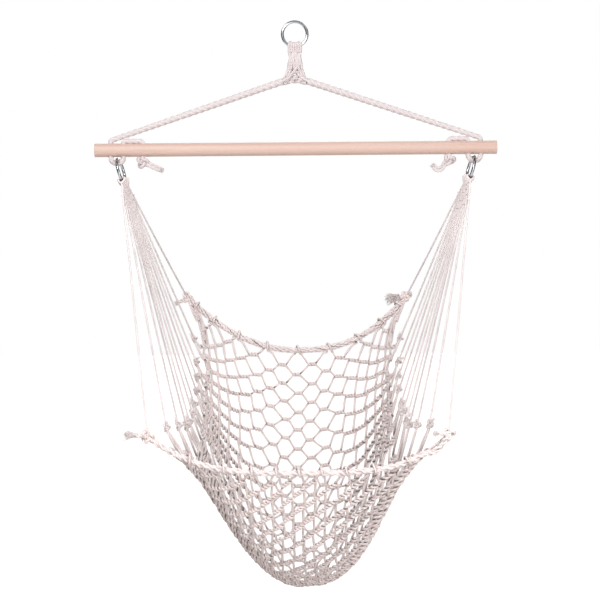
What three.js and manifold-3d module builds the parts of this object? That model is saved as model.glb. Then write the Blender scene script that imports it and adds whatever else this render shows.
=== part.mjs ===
// A hanging chair of knotted cotton net. A steel ring goes on the hook, a plaited neck
// hangs on the ring, and two bridle ropes spread from the neck to a wooden bar. Each
// bridle rope is rove through the bar and holds a side ring, and twelve clew cords fan
// out from each side ring to the edge of the net seat.
// Millimetres, +Z up, the sitter faces -Y. The origin is the hook's seat in the top ring.
import * as THREE from 'three';
import { mergeVertices } from 'three/addons/utils/BufferGeometryUtils.js';
import Module from 'manifold-3d';

const wasm = await Module();
wasm.setup();

// Whole chair
const OVERALL_HEIGHT = 1260;
const BAR_DROP = 288;

// Gaps between pieces
const TOUCH_GAP = 0.3;
const RING_SLIDE_GAP = 0.4;
const CLEW_SLIDE_GAP = 0.5;
const RING_SWING_ROOM = 2.2;
const CUT_OVERRUN = 5;

// Steel rings: one on the hook and one at each side
const RING_OUTER_DIAMETER = 62;
const RING_WIRE_DIAMETER = 6.5;
const RING_FACETS = 32;
const WIRE_FACETS = 8;
const SIDE_RING_LEAN = THREE.MathUtils.degToRad(15);
const SIDE_RING_TURN = THREE.MathUtils.degToRad(6.5);

// Plaited neck: six strands over the ring wire, a waist, then a spread to the two ropes
const NECK_STRAND_DIAMETER = 5.5;
const NECK_STRAND_COUNT = 6;
const NECK_BORE_DIAMETER = 10.6;
const NECK_ROOT_HEIGHT = 7.5;
const NECK_THICKNESS = 12;
const NECK_WAIST_WIDTH = 26;
const NECK_LENGTH = 62;
const NECK_EDGE_ROUND = 3;
const NECK_LOOP_FACETS = 12;
const NECK_STRAND_FACETS = 5;

// The plait's outline: shares of the neck's length, and of the waist's half width
const NECK_OUTLINE_SHARES = [[0.16, 1], [0.5, 1.2], [0.74, 1.6]];
const NECK_FORK_SHARE = 0.5;

// Bridle ropes and the holes that they are rove through
const BRIDLE_DIAMETER = 12;
const BRIDLE_SIDES = 8;
const BRIDLE_SPREAD = 56;
const BRIDLE_BEND_RADIUS = 9;
const BRIDLE_LIFT = 4.5;
const BEND_STEPS = 4;
const LOOP_STEPS = 10;
const STOPPER_DROP = 11;
const STOPPER_LENGTH = 26;
const STOPPER_WIDTH = 21;
const STOPPER_TAIL_LENGTH = 30;
const STOPPER_TAIL_DIAMETER = 11;
const STOPPER_TAIL_SLOPE = 0.5;

// Spreader bar, with its holes placed from its ends
const BAR_LENGTH = 900;
const BAR_DIAMETER = 30;
const BAR_CHAMFER = 2;
const BAR_FACETS = 24;
const BAR_HOLE_DIAMETER = 14;
const BAR_HOLE_CHAMFER = 1.5;
const HOLE_FACETS = 12;
const LOOP_INSET = 50;
const LOOP_RADIUS = 14;
const STOPPER_HOLE_INSET = 107;

// Seat: places of its corners from the bar's axis, and how far its edges sag
const SEAT_BACK_WIDTH = 530;
const SEAT_WAIST_WIDTH = 460;
const SEAT_FRONT_WIDTH = 606;
const BACK_CORNER_DEPTH = 280;
const BACK_CORNER_DROP = 330;
const BACK_EDGE_SAG = 128;
const BACK_EDGE_LEAN = 40;
const FRONT_CORNER_DEPTH = 356;
const FRONT_CORNER_DROP = 612;
const FRONT_EDGE_SAG = 75;
const FRONT_EDGE_LEAN = 12;
const SELVAGE_DROP = 286;
const BOTTOM_DEPTH = 16;
const HANG_POWER = 6;

// Net: cells across and along, and the cord that it is knotted from
const NET_COLUMNS = 18;
const NET_ROWS = 40;
const NET_CORD_DIAMETER = 4;
const TWIST_SHARE = 0.3;
const SIDE_BUNCHING_SHARE = 0.3;
const GATHER_SHARE = 0.35;
const GATHER_POWER = 6;
const SCALLOP_SHARE = 0.02;
const SLOPE_SHARE = 0.004;
const MITRE_LIMIT = 1.5;

// Edge ropes and clew cords
const BACK_ROPE_DIAMETER = 17;
const FRONT_ROPE_DIAMETER = 12.5;
const EDGE_ROPE_SIDES = 10;
const EDGE_ROPE_STEPS = 26;
const CORNER_KNOT_DIAMETER = 24;
const CORNER_TAIL_LENGTH = 34;
const CORNER_TAIL_DIAMETER = 12;
const CLEW_DIAMETER = 4;
const CLEW_LOOP_BORE = 11.2;
const CLEW_LOOP_FACETS = 8;
const CLEW_LOOP_SIDES = 5;
const CLEW_STRAIGHT = 6;
const CLEW_TIP_GAP = 1.3;
const CLEW_FAN = THREE.MathUtils.degToRad(90);
const CLEW_TIP_ROWS = [2, 4, 6, 8, 12, 18, 24, 28, 32, 36];
const CORD_SIDES = 8;

// Places worked out from the sizes above
const wireRadius = RING_WIRE_DIAMETER / 2;
const ringRadius = (RING_OUTER_DIAMETER - RING_WIRE_DIAMETER) / 2;
const ringCentre = new THREE.Vector3(0, 0, wireRadius - ringRadius);
const barZ = RING_WIRE_DIAMETER - BAR_DROP;
const barRadius = BAR_DIAMETER / 2;
const bridleRadius = BRIDLE_DIAMETER / 2;
const cordRadius = NET_CORD_DIAMETER / 2;
const loopPlace = BAR_LENGTH / 2 - LOOP_INSET;
const stopperPlace = BAR_LENGTH / 2 - STOPPER_HOLE_INSET;
const clewCount = CLEW_TIP_ROWS.length + 2;
const seatBottomZ = RING_WIRE_DIAMETER - OVERALL_HEIGHT + cordRadius;
const Y_AXIS = new THREE.Vector3(0, 1, 0);
const Z_AXIS = new THREE.Vector3(0, 0, 1);

const chair = new THREE.Group();

function addPiece(name, geometry, finish) {
  const mesh = new THREE.Mesh(geometry, new THREE.MeshStandardMaterial(finish));
  mesh.name = name;
  chair.add(mesh);
}

const COTTON = { color: 0xece2d8, roughness: 0.95, metalness: 0 };
const BEECH = { color: 0xe6c9ae, roughness: 0.6, metalness: 0 };
const STEEL = { color: 0xb4b7ba, roughness: 0.25, metalness: 1 };

// Joining and cutting

function solidOf(geometry) {
  const bare = geometry.clone();
  bare.deleteAttribute('normal');
  bare.deleteAttribute('uv');
  const merged = mergeVertices(bare, 1e-4);
  const vertProperties = new Float32Array(merged.attributes.position.array);
  const triVerts = new Uint32Array(merged.index.array);
  return new wasm.Manifold(new wasm.Mesh({ numProp: 3, vertProperties, triVerts }));
}

function geometryOf(solid) {
  const { vertProperties, triVerts } = solid.getMesh();
  const geometry = new THREE.BufferGeometry();
  geometry.setAttribute('position', new THREE.BufferAttribute(vertProperties, 3));
  geometry.setIndex(new THREE.BufferAttribute(triVerts, 1));
  return geometry;
}

function joined(geometries) {
  return geometryOf(geometries.map(solidOf).reduce((all, next) => all.add(next)));
}

// A tube's route has one ring of points on each of its places, where it also turns.
class Route extends THREE.Curve {
  constructor(places) {
    super();
    this.places = places;
  }

  getUtoTmapping(u) {
    return u;
  }

  getPoint(t, target = new THREE.Vector3()) {
    const along = t * (this.places.length - 1);
    const index = Math.min(Math.floor(along), this.places.length - 2);
    return target.lerpVectors(this.places[index], this.places[index + 1], along - index);
  }

  getTangent(t, target = new THREE.Vector3()) {
    const last = this.places.length - 1;
    const index = Math.round(t * last);
    const here = this.places[index];
    const arriving = here.clone().sub(this.places[Math.max(index - 1, 0)]).normalize();
    const leaving = this.places[Math.min(index + 1, last)].clone().sub(here).normalize();
    return target.addVectors(arriving, leaving).normalize();
  }
}

function tubeAlong(places, diameter, sides) {
  const section = new THREE.Shape();
  for (let side = 0; side < sides; side += 1) {
    const angle = (2 * Math.PI * side) / sides;
    const x = (diameter / 2) * Math.cos(angle);
    const y = (diameter / 2) * Math.sin(angle);
    if (side === 0) section.moveTo(x, y);
    else section.lineTo(x, y);
  }
  return new THREE.ExtrudeGeometry(section, {
    steps: places.length - 1,
    extrudePath: new Route(places),
    bevelEnabled: false,
  });
}

// Turns a shape whose axis is +Z so that the axis lies along a direction.
function aimed(geometry, direction, position) {
  geometry.applyQuaternion(new THREE.Quaternion().setFromUnitVectors(Z_AXIS, direction));
  return geometry.translate(position.x, position.y, position.z);
}

// Steel rings

function ringAround(centre, axis) {
  const ring = new THREE.TorusGeometry(ringRadius, wireRadius, WIRE_FACETS, RING_FACETS);
  return aimed(ring, axis, centre);
}

function addHangingRing() {
  addPiece('hanging_ring', ringAround(ringCentre, Y_AXIS), STEEL);
}

// Plaited neck

const neckTopZ = ringCentre.z - ringRadius - NECK_BORE_DIAMETER / 2 - NECK_STRAND_DIAMETER / 2
  - NECK_ROOT_HEIGHT / 2;
const neckSplitZ = neckTopZ - NECK_LENGTH;

// The loops hang on the wire, so each one's middle lies below the wire's middle.
function neckLoop(index) {
  const loopRadius = (NECK_BORE_DIAMETER + NECK_STRAND_DIAMETER) / 2;
  const facetInset = 1 - Math.cos(Math.PI / NECK_LOOP_FACETS);
  const hang = NECK_BORE_DIAMETER / 2 - loopRadius * facetInset - wireRadius - RING_SLIDE_GAP;
  const along = (index - (NECK_STRAND_COUNT - 1) / 2) * NECK_STRAND_DIAMETER;
  const angle = along / ringRadius;
  const outward = new THREE.Vector3(Math.sin(angle), 0, -Math.cos(angle));
  const centre = ringCentre.clone().addScaledVector(outward, ringRadius);
  centre.z -= hang;
  const loop = new THREE.TorusGeometry(
    loopRadius, NECK_STRAND_DIAMETER / 2, NECK_STRAND_FACETS, NECK_LOOP_FACETS,
  );
  loop.rotateZ(Math.PI / NECK_LOOP_FACETS);
  const tangent = new THREE.Vector3(Math.cos(angle), 0, Math.sin(angle));
  return aimed(loop, tangent, centre);
}

function addNeckEye() {
  const rootWidth = (NECK_STRAND_COUNT - 1) * NECK_STRAND_DIAMETER;
  const root = new THREE.BoxGeometry(rootWidth, 2 * NECK_STRAND_DIAMETER, NECK_ROOT_HEIGHT);
  root.translate(0, 0, neckTopZ + NECK_ROOT_HEIGHT / 2);
  const loops = [];
  for (let index = 0; index < NECK_STRAND_COUNT; index += 1) loops.push(neckLoop(index));
  addPiece('neck_eye', joined([root, ...loops]), COTTON);
}

// Each bridle rope leaves the neck square to its own straight line.
const bridleStart = new THREE.Vector3(BRIDLE_SPREAD / 2, 0, neckSplitZ);
const bendCentreA = new THREE.Vector3(
  loopPlace + LOOP_RADIUS - BRIDLE_BEND_RADIUS, 0, barZ + barRadius + BRIDLE_LIFT,
);

// The straight line meets the bend over the outer hole as a tangent of its circle.
function bridleDirection() {
  const toCentre = bendCentreA.clone().sub(bridleStart);
  const slant = Math.asin(BRIDLE_BEND_RADIUS / toCentre.length());
  return toCentre.normalize().applyAxisAngle(Y_AXIS, -slant);
}

function addNeckPlait() {
  const along = bridleDirection();
  const across = new THREE.Vector3(-along.z, 0, along.x);
  const upper = bridleStart.clone().addScaledVector(across, bridleRadius);
  const lower = bridleStart.clone().addScaledVector(across, -bridleRadius);
  const topHalf = ((NECK_STRAND_COUNT - 1) * NECK_STRAND_DIAMETER) / 2;
  const waistHalf = NECK_WAIST_WIDTH / 2;
  const half = [
    [topHalf, neckTopZ - TOUCH_GAP],
    ...NECK_OUTLINE_SHARES.map(([down, wide]) => [
      waistHalf * wide, neckTopZ - NECK_LENGTH * down,
    ]),
    [upper.x, upper.z],
    [lower.x, lower.z],
    [waistHalf * NECK_FORK_SHARE, neckSplitZ],
  ];
  const outline = [...half, ...half.map(([x, z]) => [-x, z]).reverse()];
  const shape = new THREE.Shape(outline.map(([x, z]) => new THREE.Vector2(x, z)));
  const plait = new THREE.ExtrudeGeometry(shape, {
    depth: NECK_THICKNESS - 2 * NECK_EDGE_ROUND,
    bevelThickness: NECK_EDGE_ROUND,
    bevelSize: NECK_EDGE_ROUND,
    bevelOffset: -NECK_EDGE_ROUND,
    bevelSegments: 2,
  });
  plait.translate(0, 0, NECK_EDGE_ROUND - NECK_THICKNESS / 2);
  plait.rotateX(Math.PI / 2);
  addPiece('neck_plait', plait, COTTON);
}

// Bridle ropes: all of the right-hand rope's route, mirrored for the left-hand one

const topRunZ = barZ + barRadius + bridleRadius + TOUCH_GAP;
const loopTop = new THREE.Vector3(
  loopPlace, 0,
  barZ - barRadius - RING_SWING_ROOM - RING_WIRE_DIAMETER - RING_SLIDE_GAP
    - bridleRadius + LOOP_RADIUS,
);

function bendPlaces(centre, radius, fromAngle, toAngle, count) {
  const places = [];
  for (let step = 0; step <= count; step += 1) {
    const angle = fromAngle + ((toAngle - fromAngle) * step) / count;
    places.push(new THREE.Vector3(
      centre.x + radius * Math.cos(angle), 0, centre.z + radius * Math.sin(angle),
    ));
  }
  return places;
}

function bridleRoute() {
  const along = bridleDirection();
  const arriving = Math.atan2(along.x, -along.z);
  const holeB = loopPlace - LOOP_RADIUS;
  const bendB = new THREE.Vector3(
    holeB - BRIDLE_BEND_RADIUS, 0, topRunZ - BRIDLE_BEND_RADIUS,
  );
  const bendC = new THREE.Vector3(
    stopperPlace + BRIDLE_BEND_RADIUS, 0, topRunZ - BRIDLE_BEND_RADIUS,
  );
  const start = bridleStart.clone().addScaledVector(along, TOUCH_GAP);
  return [
    start,
    ...bendPlaces(bendCentreA, BRIDLE_BEND_RADIUS, arriving, 0, BEND_STEPS),
    ...bendPlaces(loopTop, LOOP_RADIUS, 0, -Math.PI, LOOP_STEPS),
    ...bendPlaces(bendB, BRIDLE_BEND_RADIUS, 0, Math.PI / 2, BEND_STEPS),
    ...bendPlaces(bendC, BRIDLE_BEND_RADIUS, Math.PI / 2, Math.PI, BEND_STEPS),
    new THREE.Vector3(stopperPlace, 0, barZ - barRadius - STOPPER_DROP),
  ];
}

// A stopper knot under the bar, with a short frayed end that points inboard and down.
function stopperKnot() {
  const knotCentre = new THREE.Vector3(
    stopperPlace, 0, barZ - barRadius - TOUCH_GAP - STOPPER_WIDTH / 2,
  );
  const knot = new THREE.IcosahedronGeometry(STOPPER_WIDTH / 2, 1);
  knot.scale(STOPPER_LENGTH / STOPPER_WIDTH, 1, 1);
  knot.translate(knotCentre.x, knotCentre.y, knotCentre.z);
  const tailDirection = new THREE.Vector3(-1, 0, -STOPPER_TAIL_SLOPE).normalize();
  const tailEnd = knotCentre.clone().addScaledVector(
    tailDirection, STOPPER_LENGTH / 2 + STOPPER_TAIL_LENGTH,
  );
  const tail = tubeAlong([knotCentre, tailEnd], STOPPER_TAIL_DIAMETER, CORD_SIDES);
  return [knot, tail];
}

function addBridleRopes() {
  const rope = tubeAlong(bridleRoute(), BRIDLE_DIAMETER, BRIDLE_SIDES);
  const right = solidOf(joined([rope, ...stopperKnot()]));
  addPiece('bridle_rope_right', geometryOf(right), COTTON);
  addPiece('bridle_rope_left', geometryOf(right.mirror([1, 0, 0])), COTTON);
}

// Spreader bar, with six cross holes eased at both mouths so that they don't chafe the ropes

function holeProfile() {
  const holeRadius = BAR_HOLE_DIAMETER / 2;
  const straight = barRadius - BAR_HOLE_CHAMFER;
  const end = barRadius + CUT_OVERRUN;
  const mouth = holeRadius + end - straight;
  return [
    new THREE.Vector2(0, -end),
    new THREE.Vector2(mouth, -end),
    new THREE.Vector2(holeRadius, -straight),
    new THREE.Vector2(holeRadius, straight),
    new THREE.Vector2(mouth, end),
    new THREE.Vector2(0, end),
  ];
}

function addSpreaderBar() {
  const end = BAR_LENGTH / 2;
  const profile = [
    new THREE.Vector2(0, -end),
    new THREE.Vector2(barRadius - BAR_CHAMFER, -end),
    new THREE.Vector2(barRadius, BAR_CHAMFER - end),
    new THREE.Vector2(barRadius, end - BAR_CHAMFER),
    new THREE.Vector2(barRadius - BAR_CHAMFER, end),
    new THREE.Vector2(0, end),
  ];
  const dowel = new THREE.LatheGeometry(profile, BAR_FACETS);
  dowel.rotateZ(-Math.PI / 2);
  dowel.translate(0, 0, barZ);
  let bar = solidOf(dowel);
  const places = [loopPlace + LOOP_RADIUS, loopPlace - LOOP_RADIUS, stopperPlace];
  for (const place of [...places, ...places.map((x) => -x)]) {
    const drill = new THREE.LatheGeometry(holeProfile(), HOLE_FACETS);
    drill.rotateX(Math.PI / 2);
    drill.translate(place, 0, barZ);
    bar = bar.subtract(solidOf(drill));
  }
  addPiece('spreader_bar', geometryOf(bar), BEECH);
}

// Side rings: each leans inboard, in line with the pull of its clews, and its front turns
// outward, because the seat is wider in front

function sideRing(side) {
  const down = new THREE.Vector3(-side * Math.sin(SIDE_RING_LEAN), 0, -Math.cos(SIDE_RING_LEAN));
  const wireTop = new THREE.Vector3(side * loopPlace, 0, loopTop.z).addScaledVector(
    down, LOOP_RADIUS - bridleRadius - RING_SLIDE_GAP - wireRadius,
  );
  const centre = wireTop.clone().addScaledVector(down, ringRadius);
  const axis = new THREE.Vector3().crossVectors(Y_AXIS, down).multiplyScalar(side);
  axis.applyAxisAngle(down, -side * SIDE_RING_TURN);
  const back = new THREE.Vector3().crossVectors(down, axis).multiplyScalar(side);
  return { centre, down, back, axis };
}

function addSideRings() {
  for (const [name, side] of [['left', -1], ['right', 1]]) {
    const { centre, axis } = sideRing(side);
    addPiece(`side_ring_${name}`, ringAround(centre, axis), STEEL);
  }
}

// Clew heads: the bights of twelve cords, side by side round the lower half of each ring

const clewLoopRadius = (CLEW_LOOP_BORE + CLEW_DIAMETER) / 2;
const clewFlatShare = Math.cos(Math.PI / CLEW_LOOP_FACETS);
const clewLoopReach = ringRadius + CLEW_LOOP_BORE / 2 - wireRadius - CLEW_SLIDE_GAP
  - clewLoopRadius * (1 - clewFlatShare);

// Bight 0 is at the back of the ring and the last one at the front.
function clewBight(side, index) {
  const { centre, down, back } = sideRing(side);
  const angle = CLEW_FAN * (0.5 - index / (clewCount - 1));
  const outward = down.clone().multiplyScalar(Math.cos(angle));
  outward.addScaledVector(back, Math.sin(angle));
  const tangent = down.clone().multiplyScalar(-Math.sin(angle));
  tangent.addScaledVector(back, Math.cos(angle));
  return { middle: centre.clone().addScaledVector(outward, clewLoopReach), outward, tangent };
}

function addClewLoops() {
  for (const [name, side] of [['left', -1], ['right', 1]]) {
    const loops = [];
    for (let index = 0; index < clewCount; index += 1) {
      const { middle, outward, tangent } = clewBight(side, index);
      const loop = new THREE.TorusGeometry(
        clewLoopRadius, CLEW_DIAMETER / 2, CLEW_LOOP_SIDES, CLEW_LOOP_FACETS,
      );
      loop.rotateZ(Math.PI / CLEW_LOOP_FACETS);
      const frame = new THREE.Matrix4().makeBasis(
        outward, new THREE.Vector3().crossVectors(tangent, outward), tangent,
      );
      loop.applyMatrix4(frame.setPosition(middle));
      loops.push(loop);
    }
    addPiece(`clew_loops_${name}`, joined(loops), COTTON);
  }
}

// Seat surface: curved rows hang between a middle line and the selvages at the sides

const backCorner = new THREE.Vector3(
  SEAT_BACK_WIDTH / 2, BACK_CORNER_DEPTH, barZ - BACK_CORNER_DROP,
);
const frontCorner = new THREE.Vector3(
  SEAT_FRONT_WIDTH / 2, -FRONT_CORNER_DEPTH, barZ - FRONT_CORNER_DROP,
);
const backMiddle = new THREE.Vector3(
  0, BACK_CORNER_DEPTH - BACK_EDGE_LEAN, backCorner.z - BACK_EDGE_SAG,
);
const frontMiddle = new THREE.Vector3(
  0, FRONT_EDGE_LEAN - FRONT_CORNER_DEPTH, frontCorner.z - FRONT_EDGE_SAG,
);
const bottom = new THREE.Vector3(0, -BOTTOM_DEPTH, seatBottomZ);

// Shares of the way forward and of the way down (or up) from one end to the other
const BACK_PANEL_SHARES = [[0.1, 0.33], [0.32, 0.68], [0.66, 0.93]];
const FRONT_PANEL_SHARES = [[0.3, 0.08], [0.6, 0.34], [0.84, 0.68]];

// Shares of the way forward, of the drop, and of the flare from the waist to the corner
const BACK_SELVAGE_SHARES = [[0.1, 0.36, 0.35], [0.26, 0.68, 0], [0.46, 0.9, 0]];
const FRONT_SELVAGE_SHARES = [[0.66, 1, 0.1], [0.84, 0.965, 0.42]];

function between(from, to, [forwardShare, riseShare]) {
  return new THREE.Vector3(
    0,
    THREE.MathUtils.lerp(from.y, to.y, forwardShare),
    THREE.MathUtils.lerp(from.z, to.z, riseShare),
  );
}

const middleLine = new THREE.CatmullRomCurve3([
  backMiddle,
  ...BACK_PANEL_SHARES.map((shares) => between(backMiddle, bottom, shares)),
  bottom,
  ...FRONT_PANEL_SHARES.map((shares) => between(bottom, frontMiddle, shares)),
  frontMiddle,
]);
const selvageLow = frontCorner.clone().setZ(backCorner.z - SELVAGE_DROP);
const selvagePlace = (corner) => ([forwardShare, dropShare, flareShare]) => {
  const place = between(backCorner, selvageLow, [forwardShare, dropShare]);
  return place.setX(THREE.MathUtils.lerp(SEAT_WAIST_WIDTH / 2, corner.x, flareShare));
};
const selvage = new THREE.CatmullRomCurve3([
  backCorner,
  ...BACK_SELVAGE_SHARES.map(selvagePlace(backCorner)),
  ...FRONT_SELVAGE_SHARES.map(selvagePlace(frontCorner)),
  frontCorner,
]);

// Pairs of a share of the way along the middle and what holds there. Shares of the selvage:
const SELVAGE_SHARES = [
  [0, 0], [0.05, 0.15], [0.1, 0.26], [0.2, 0.41], [0.3, 0.5], [0.5, 0.59], [0.7, 0.71], [1, 1],
];
// The power of each side's cross-section; the bag hangs a little fuller at the right
const SECTION_POWERS = {
  left: [[0, 2], [0.3, 2.2], [0.6, 1.9], [1, 3.2]],
  right: [[0, 2.5], [0.3, 2.8], [0.6, 2.9], [1, 4]],
};
// How far the rows hang towards the bottom beside the middle
const HANG_SHARES = {
  left: [[0, 0], [0.06, 0.06], [0.2, 0.11], [0.5, 0], [0.8, -0.17], [1, 0]],
  right: [[0, 0], [0.06, 0.06], [0.2, 0.11], [0.6, 0], [1, 0]],
};

function valueAt(pairs, along) {
  const next = Math.max(pairs.findIndex(([mark]) => mark >= Math.min(along, 1)), 1);
  const [[mark, value], [nextMark, nextValue]] = [pairs[next - 1], pairs[next]];
  return THREE.MathUtils.mapLinear(along, mark, nextMark, value, nextValue);
}

const ofSide = (across, { left, right }) => (across < 0 ? left : right);

// across runs from -1 at the left selvage to 1 at the right, along from 0 at the back.
function seatPoint(across, along) {
  const middle = middleLine.getPointAt(along);
  const edge = selvage.getPointAt(valueAt(SELVAGE_SHARES, along));
  const rise = Math.abs(across) ** valueAt(ofSide(across, SECTION_POWERS), along);
  return new THREE.Vector3(
    edge.x * across,
    THREE.MathUtils.lerp(middle.y, edge.y, rise),
    THREE.MathUtils.lerp(middle.z, edge.z, rise),
  );
}

function seatSlopes(across, along) {
  const before = Math.max(along - SLOPE_SHARE, 0);
  const after = Math.min(along + SLOPE_SHARE, 1);
  const forward = seatPoint(across, after).sub(seatPoint(across, before));
  forward.divideScalar(after - before);
  const sideways = seatPoint(across + SLOPE_SHARE, along);
  sideways.sub(seatPoint(across - SLOPE_SHARE, along));
  return { forward, sideways };
}

// Net: twisted bars lie across the seat, and thin legs join their ends row by row

const netOffsetBack = BACK_ROPE_DIAMETER / 2 + TOUCH_GAP + cordRadius;
const netOffsetFront = FRONT_ROPE_DIAMETER / 2 + TOUCH_GAP + cordRadius;

// The share of the way along that keeps the net's edge square off an edge rope
function shareFromRope(across, along, offset) {
  const { forward, sideways } = seatSlopes(across, along);
  return offset / forward.cross(sideways.normalize()).length();
}

// Each clew draws the meshes at the selvage together, and they fall back between two clews.
function drawnBetweenClews(row) {
  const tips = [0, ...CLEW_TIP_ROWS, NET_ROWS];
  const next = Math.max(tips.findIndex((tip) => tip >= row), 1);
  const span = tips[next] - tips[next - 1];
  const way = (row - tips[next - 1]) / span;
  return {
    shift: (GATHER_SHARE * span * Math.sin(2 * Math.PI * way)) / (2 * Math.PI),
    retreat: SCALLOP_SHARE * span * (1 - (2 * way - 1) ** 2),
  };
}

function netPlace(column, row) {
  const even = (2 * column) / NET_COLUMNS - 1;
  const pull = Math.abs(even) ** GATHER_POWER;
  const { shift, retreat } = drawnBetweenClews(row);
  const across = even * (1 + SIDE_BUNCHING_SHARE * (1 - even * even)) * (1 - pull * retreat);
  const first = shareFromRope(across, 0, netOffsetBack);
  const last = 1 - shareFromRope(across, 1, netOffsetFront);
  const way = (row - pull * shift) / NET_ROWS;
  const slack = across ** 2 * (1 - across ** HANG_POWER);
  const hang = slack * valueAt(ofSide(across, HANG_SHARES), way);
  const along = THREE.MathUtils.lerp(first, last, way) + hang;
  const { forward, sideways } = seatSlopes(across, along);
  const normal = new THREE.Vector3().crossVectors(forward, sideways).normalize();
  return { column, row, point: seatPoint(across, along), normal };
}

// Knots by name, each with its place and the knots that a cord leads to
function netLattice() {
  const knots = new Map();
  const knot = (column, row) => {
    const name = `${column.toFixed(2)} ${row}`;
    if (!knots.has(name)) knots.set(name, { ...netPlace(column, row), cords: [] });
    return knots.get(name);
  };
  const tie = (one, other) => {
    one.cords.push(other);
    other.cords.push(one);
  };
  const isSelvage = (column) => column === 0 || column === NET_COLUMNS;
  const end = (column, row, side) => (
    knot(isSelvage(column) ? column : column + side * TWIST_SHARE, row)
  );
  for (let row = 0; row <= NET_ROWS; row += 1) {
    for (let column = row % 2; column <= NET_COLUMNS; column += 2) {
      if (!isSelvage(column)) tie(end(column, row, -1), end(column, row, 1));
    }
  }
  for (let row = 1; row < NET_ROWS; row += 2) {
    for (let column = 1; column < NET_COLUMNS; column += 2) {
      for (const side of [-1, 1]) {
        for (const next of [row - 1, row + 1]) {
          const atCorner = isSelvage(column + side) && (next === 0 || next === NET_ROWS);
          if (!atCorner) tie(end(column, row, side), end(column + side, next, -side));
        }
      }
    }
  }
  return [...knots.values()];
}

function sortCords(knots) {
  for (const knot of knots) {
    const bearing = (other) => Math.atan2(other.row - knot.row, other.column - knot.column);
    knot.cords.sort((one, other) => bearing(one) - bearing(other));
  }
}

// The place in a mesh's corner, at the cord's half width from the two cords beside it
function cornerPlace(before, knot, after) {
  const arriving = knot.point.clone().sub(before.point).normalize();
  const leaving = after.point.clone().sub(knot.point).normalize();
  const inward = new THREE.Vector3().crossVectors(knot.normal, arriving).normalize();
  inward.add(new THREE.Vector3().crossVectors(knot.normal, leaving).normalize());
  const stretch = Math.min(2 / Math.max(inward.length(), 1), MITRE_LIMIT);
  return knot.point.clone().addScaledVector(inward.normalize(), cordRadius * stretch);
}

// Every cord is a ridge on each side, and the meshes' corners are the edges between them.
function netGeometry(knots) {
  const positions = [];
  const triangles = [];
  const addVertex = (place) => positions.push(place.x, place.y, place.z) / 3 - 1;
  for (const knot of knots) {
    knot.upper = addVertex(knot.point.clone().addScaledVector(knot.normal, cordRadius));
    knot.lower = addVertex(knot.point.clone().addScaledVector(knot.normal, -cordRadius));
    knot.corners = new Map();
  }
  const nextOf = (from, knot) => {
    const place = knot.cords.indexOf(from);
    return knot.cords[(place + knot.cords.length - 1) % knot.cords.length];
  };
  for (const knot of knots) {
    for (const from of knot.cords) {
      const to = nextOf(from, knot);
      knot.corners.set(from, addVertex(cornerPlace(from, knot, to)));
    }
  }
  const quad = (a, b, c, d) => triangles.push(a, b, c, a, c, d);
  for (const knot of knots) {
    for (const to of knot.cords) {
      const before = knot.cords[(knot.cords.indexOf(to) + 1) % knot.cords.length];
      const start = knot.corners.get(before);
      const finish = to.corners.get(knot);
      quad(knot.upper, to.upper, finish, start);
      quad(to.lower, knot.lower, start, finish);
    }
  }
  const geometry = new THREE.BufferGeometry();
  geometry.setAttribute('position', new THREE.Float32BufferAttribute(positions, 3));
  geometry.setIndex(triangles);
  return geometry;
}

function addNet() {
  const knots = netLattice();
  sortCords(knots);
  addPiece('seat_net', netGeometry(knots), COTTON);
}

// Edge ropes: each runs along an edge of the net and ends in a knot at both corners

// Where each corner knot's loose end points: right, back and up
const CORNER_TAILS = {
  back_left: new THREE.Vector3(-0.8, 0.5, -0.4),
  back_right: new THREE.Vector3(-0.9, 0.2, 0.4),
  front_left: new THREE.Vector3(-0.9, -0.2, 0.3),
  front_right: new THREE.Vector3(-0.8, -0.5, 0.2),
};

function cornerKnot(name, centre) {
  const knot = new THREE.IcosahedronGeometry(CORNER_KNOT_DIAMETER / 2, 1);
  knot.translate(centre.x, centre.y, centre.z);
  const reach = CORNER_KNOT_DIAMETER / 2 + CORNER_TAIL_LENGTH;
  const end = centre.clone().addScaledVector(CORNER_TAILS[name].clone().normalize(), reach);
  return [knot, tubeAlong([centre, end], CORNER_TAIL_DIAMETER, CORD_SIDES)];
}

function addEdgeRope(edge, along, diameter) {
  const places = [];
  for (let step = 0; step <= EDGE_ROPE_STEPS; step += 1) {
    places.push(seatPoint((2 * step) / EDGE_ROPE_STEPS - 1, along));
  }
  const rope = tubeAlong(places, diameter, EDGE_ROPE_SIDES);
  const pieces = [
    rope,
    ...cornerKnot(`${edge}_left`, seatPoint(-1, along)),
    ...cornerKnot(`${edge}_right`, seatPoint(1, along)),
  ];
  addPiece(`${edge}_edge_rope`, joined(pieces), COTTON);
}

// Clews: straight cords from the side rings to the corner knots and the selvage's tips

function clewEnd(side, index) {
  const knotReach = CORNER_KNOT_DIAMETER / 2 + TOUCH_GAP;
  if (index === 0) return { place: seatPoint(side, 0), reach: knotReach };
  if (index === clewCount - 1) return { place: seatPoint(side, 1), reach: knotReach };
  const column = side < 0 ? 0 : NET_COLUMNS;
  const { point } = netPlace(column, CLEW_TIP_ROWS[index - 1]);
  return { place: point, reach: cordRadius + CLEW_TIP_GAP };
}

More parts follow.
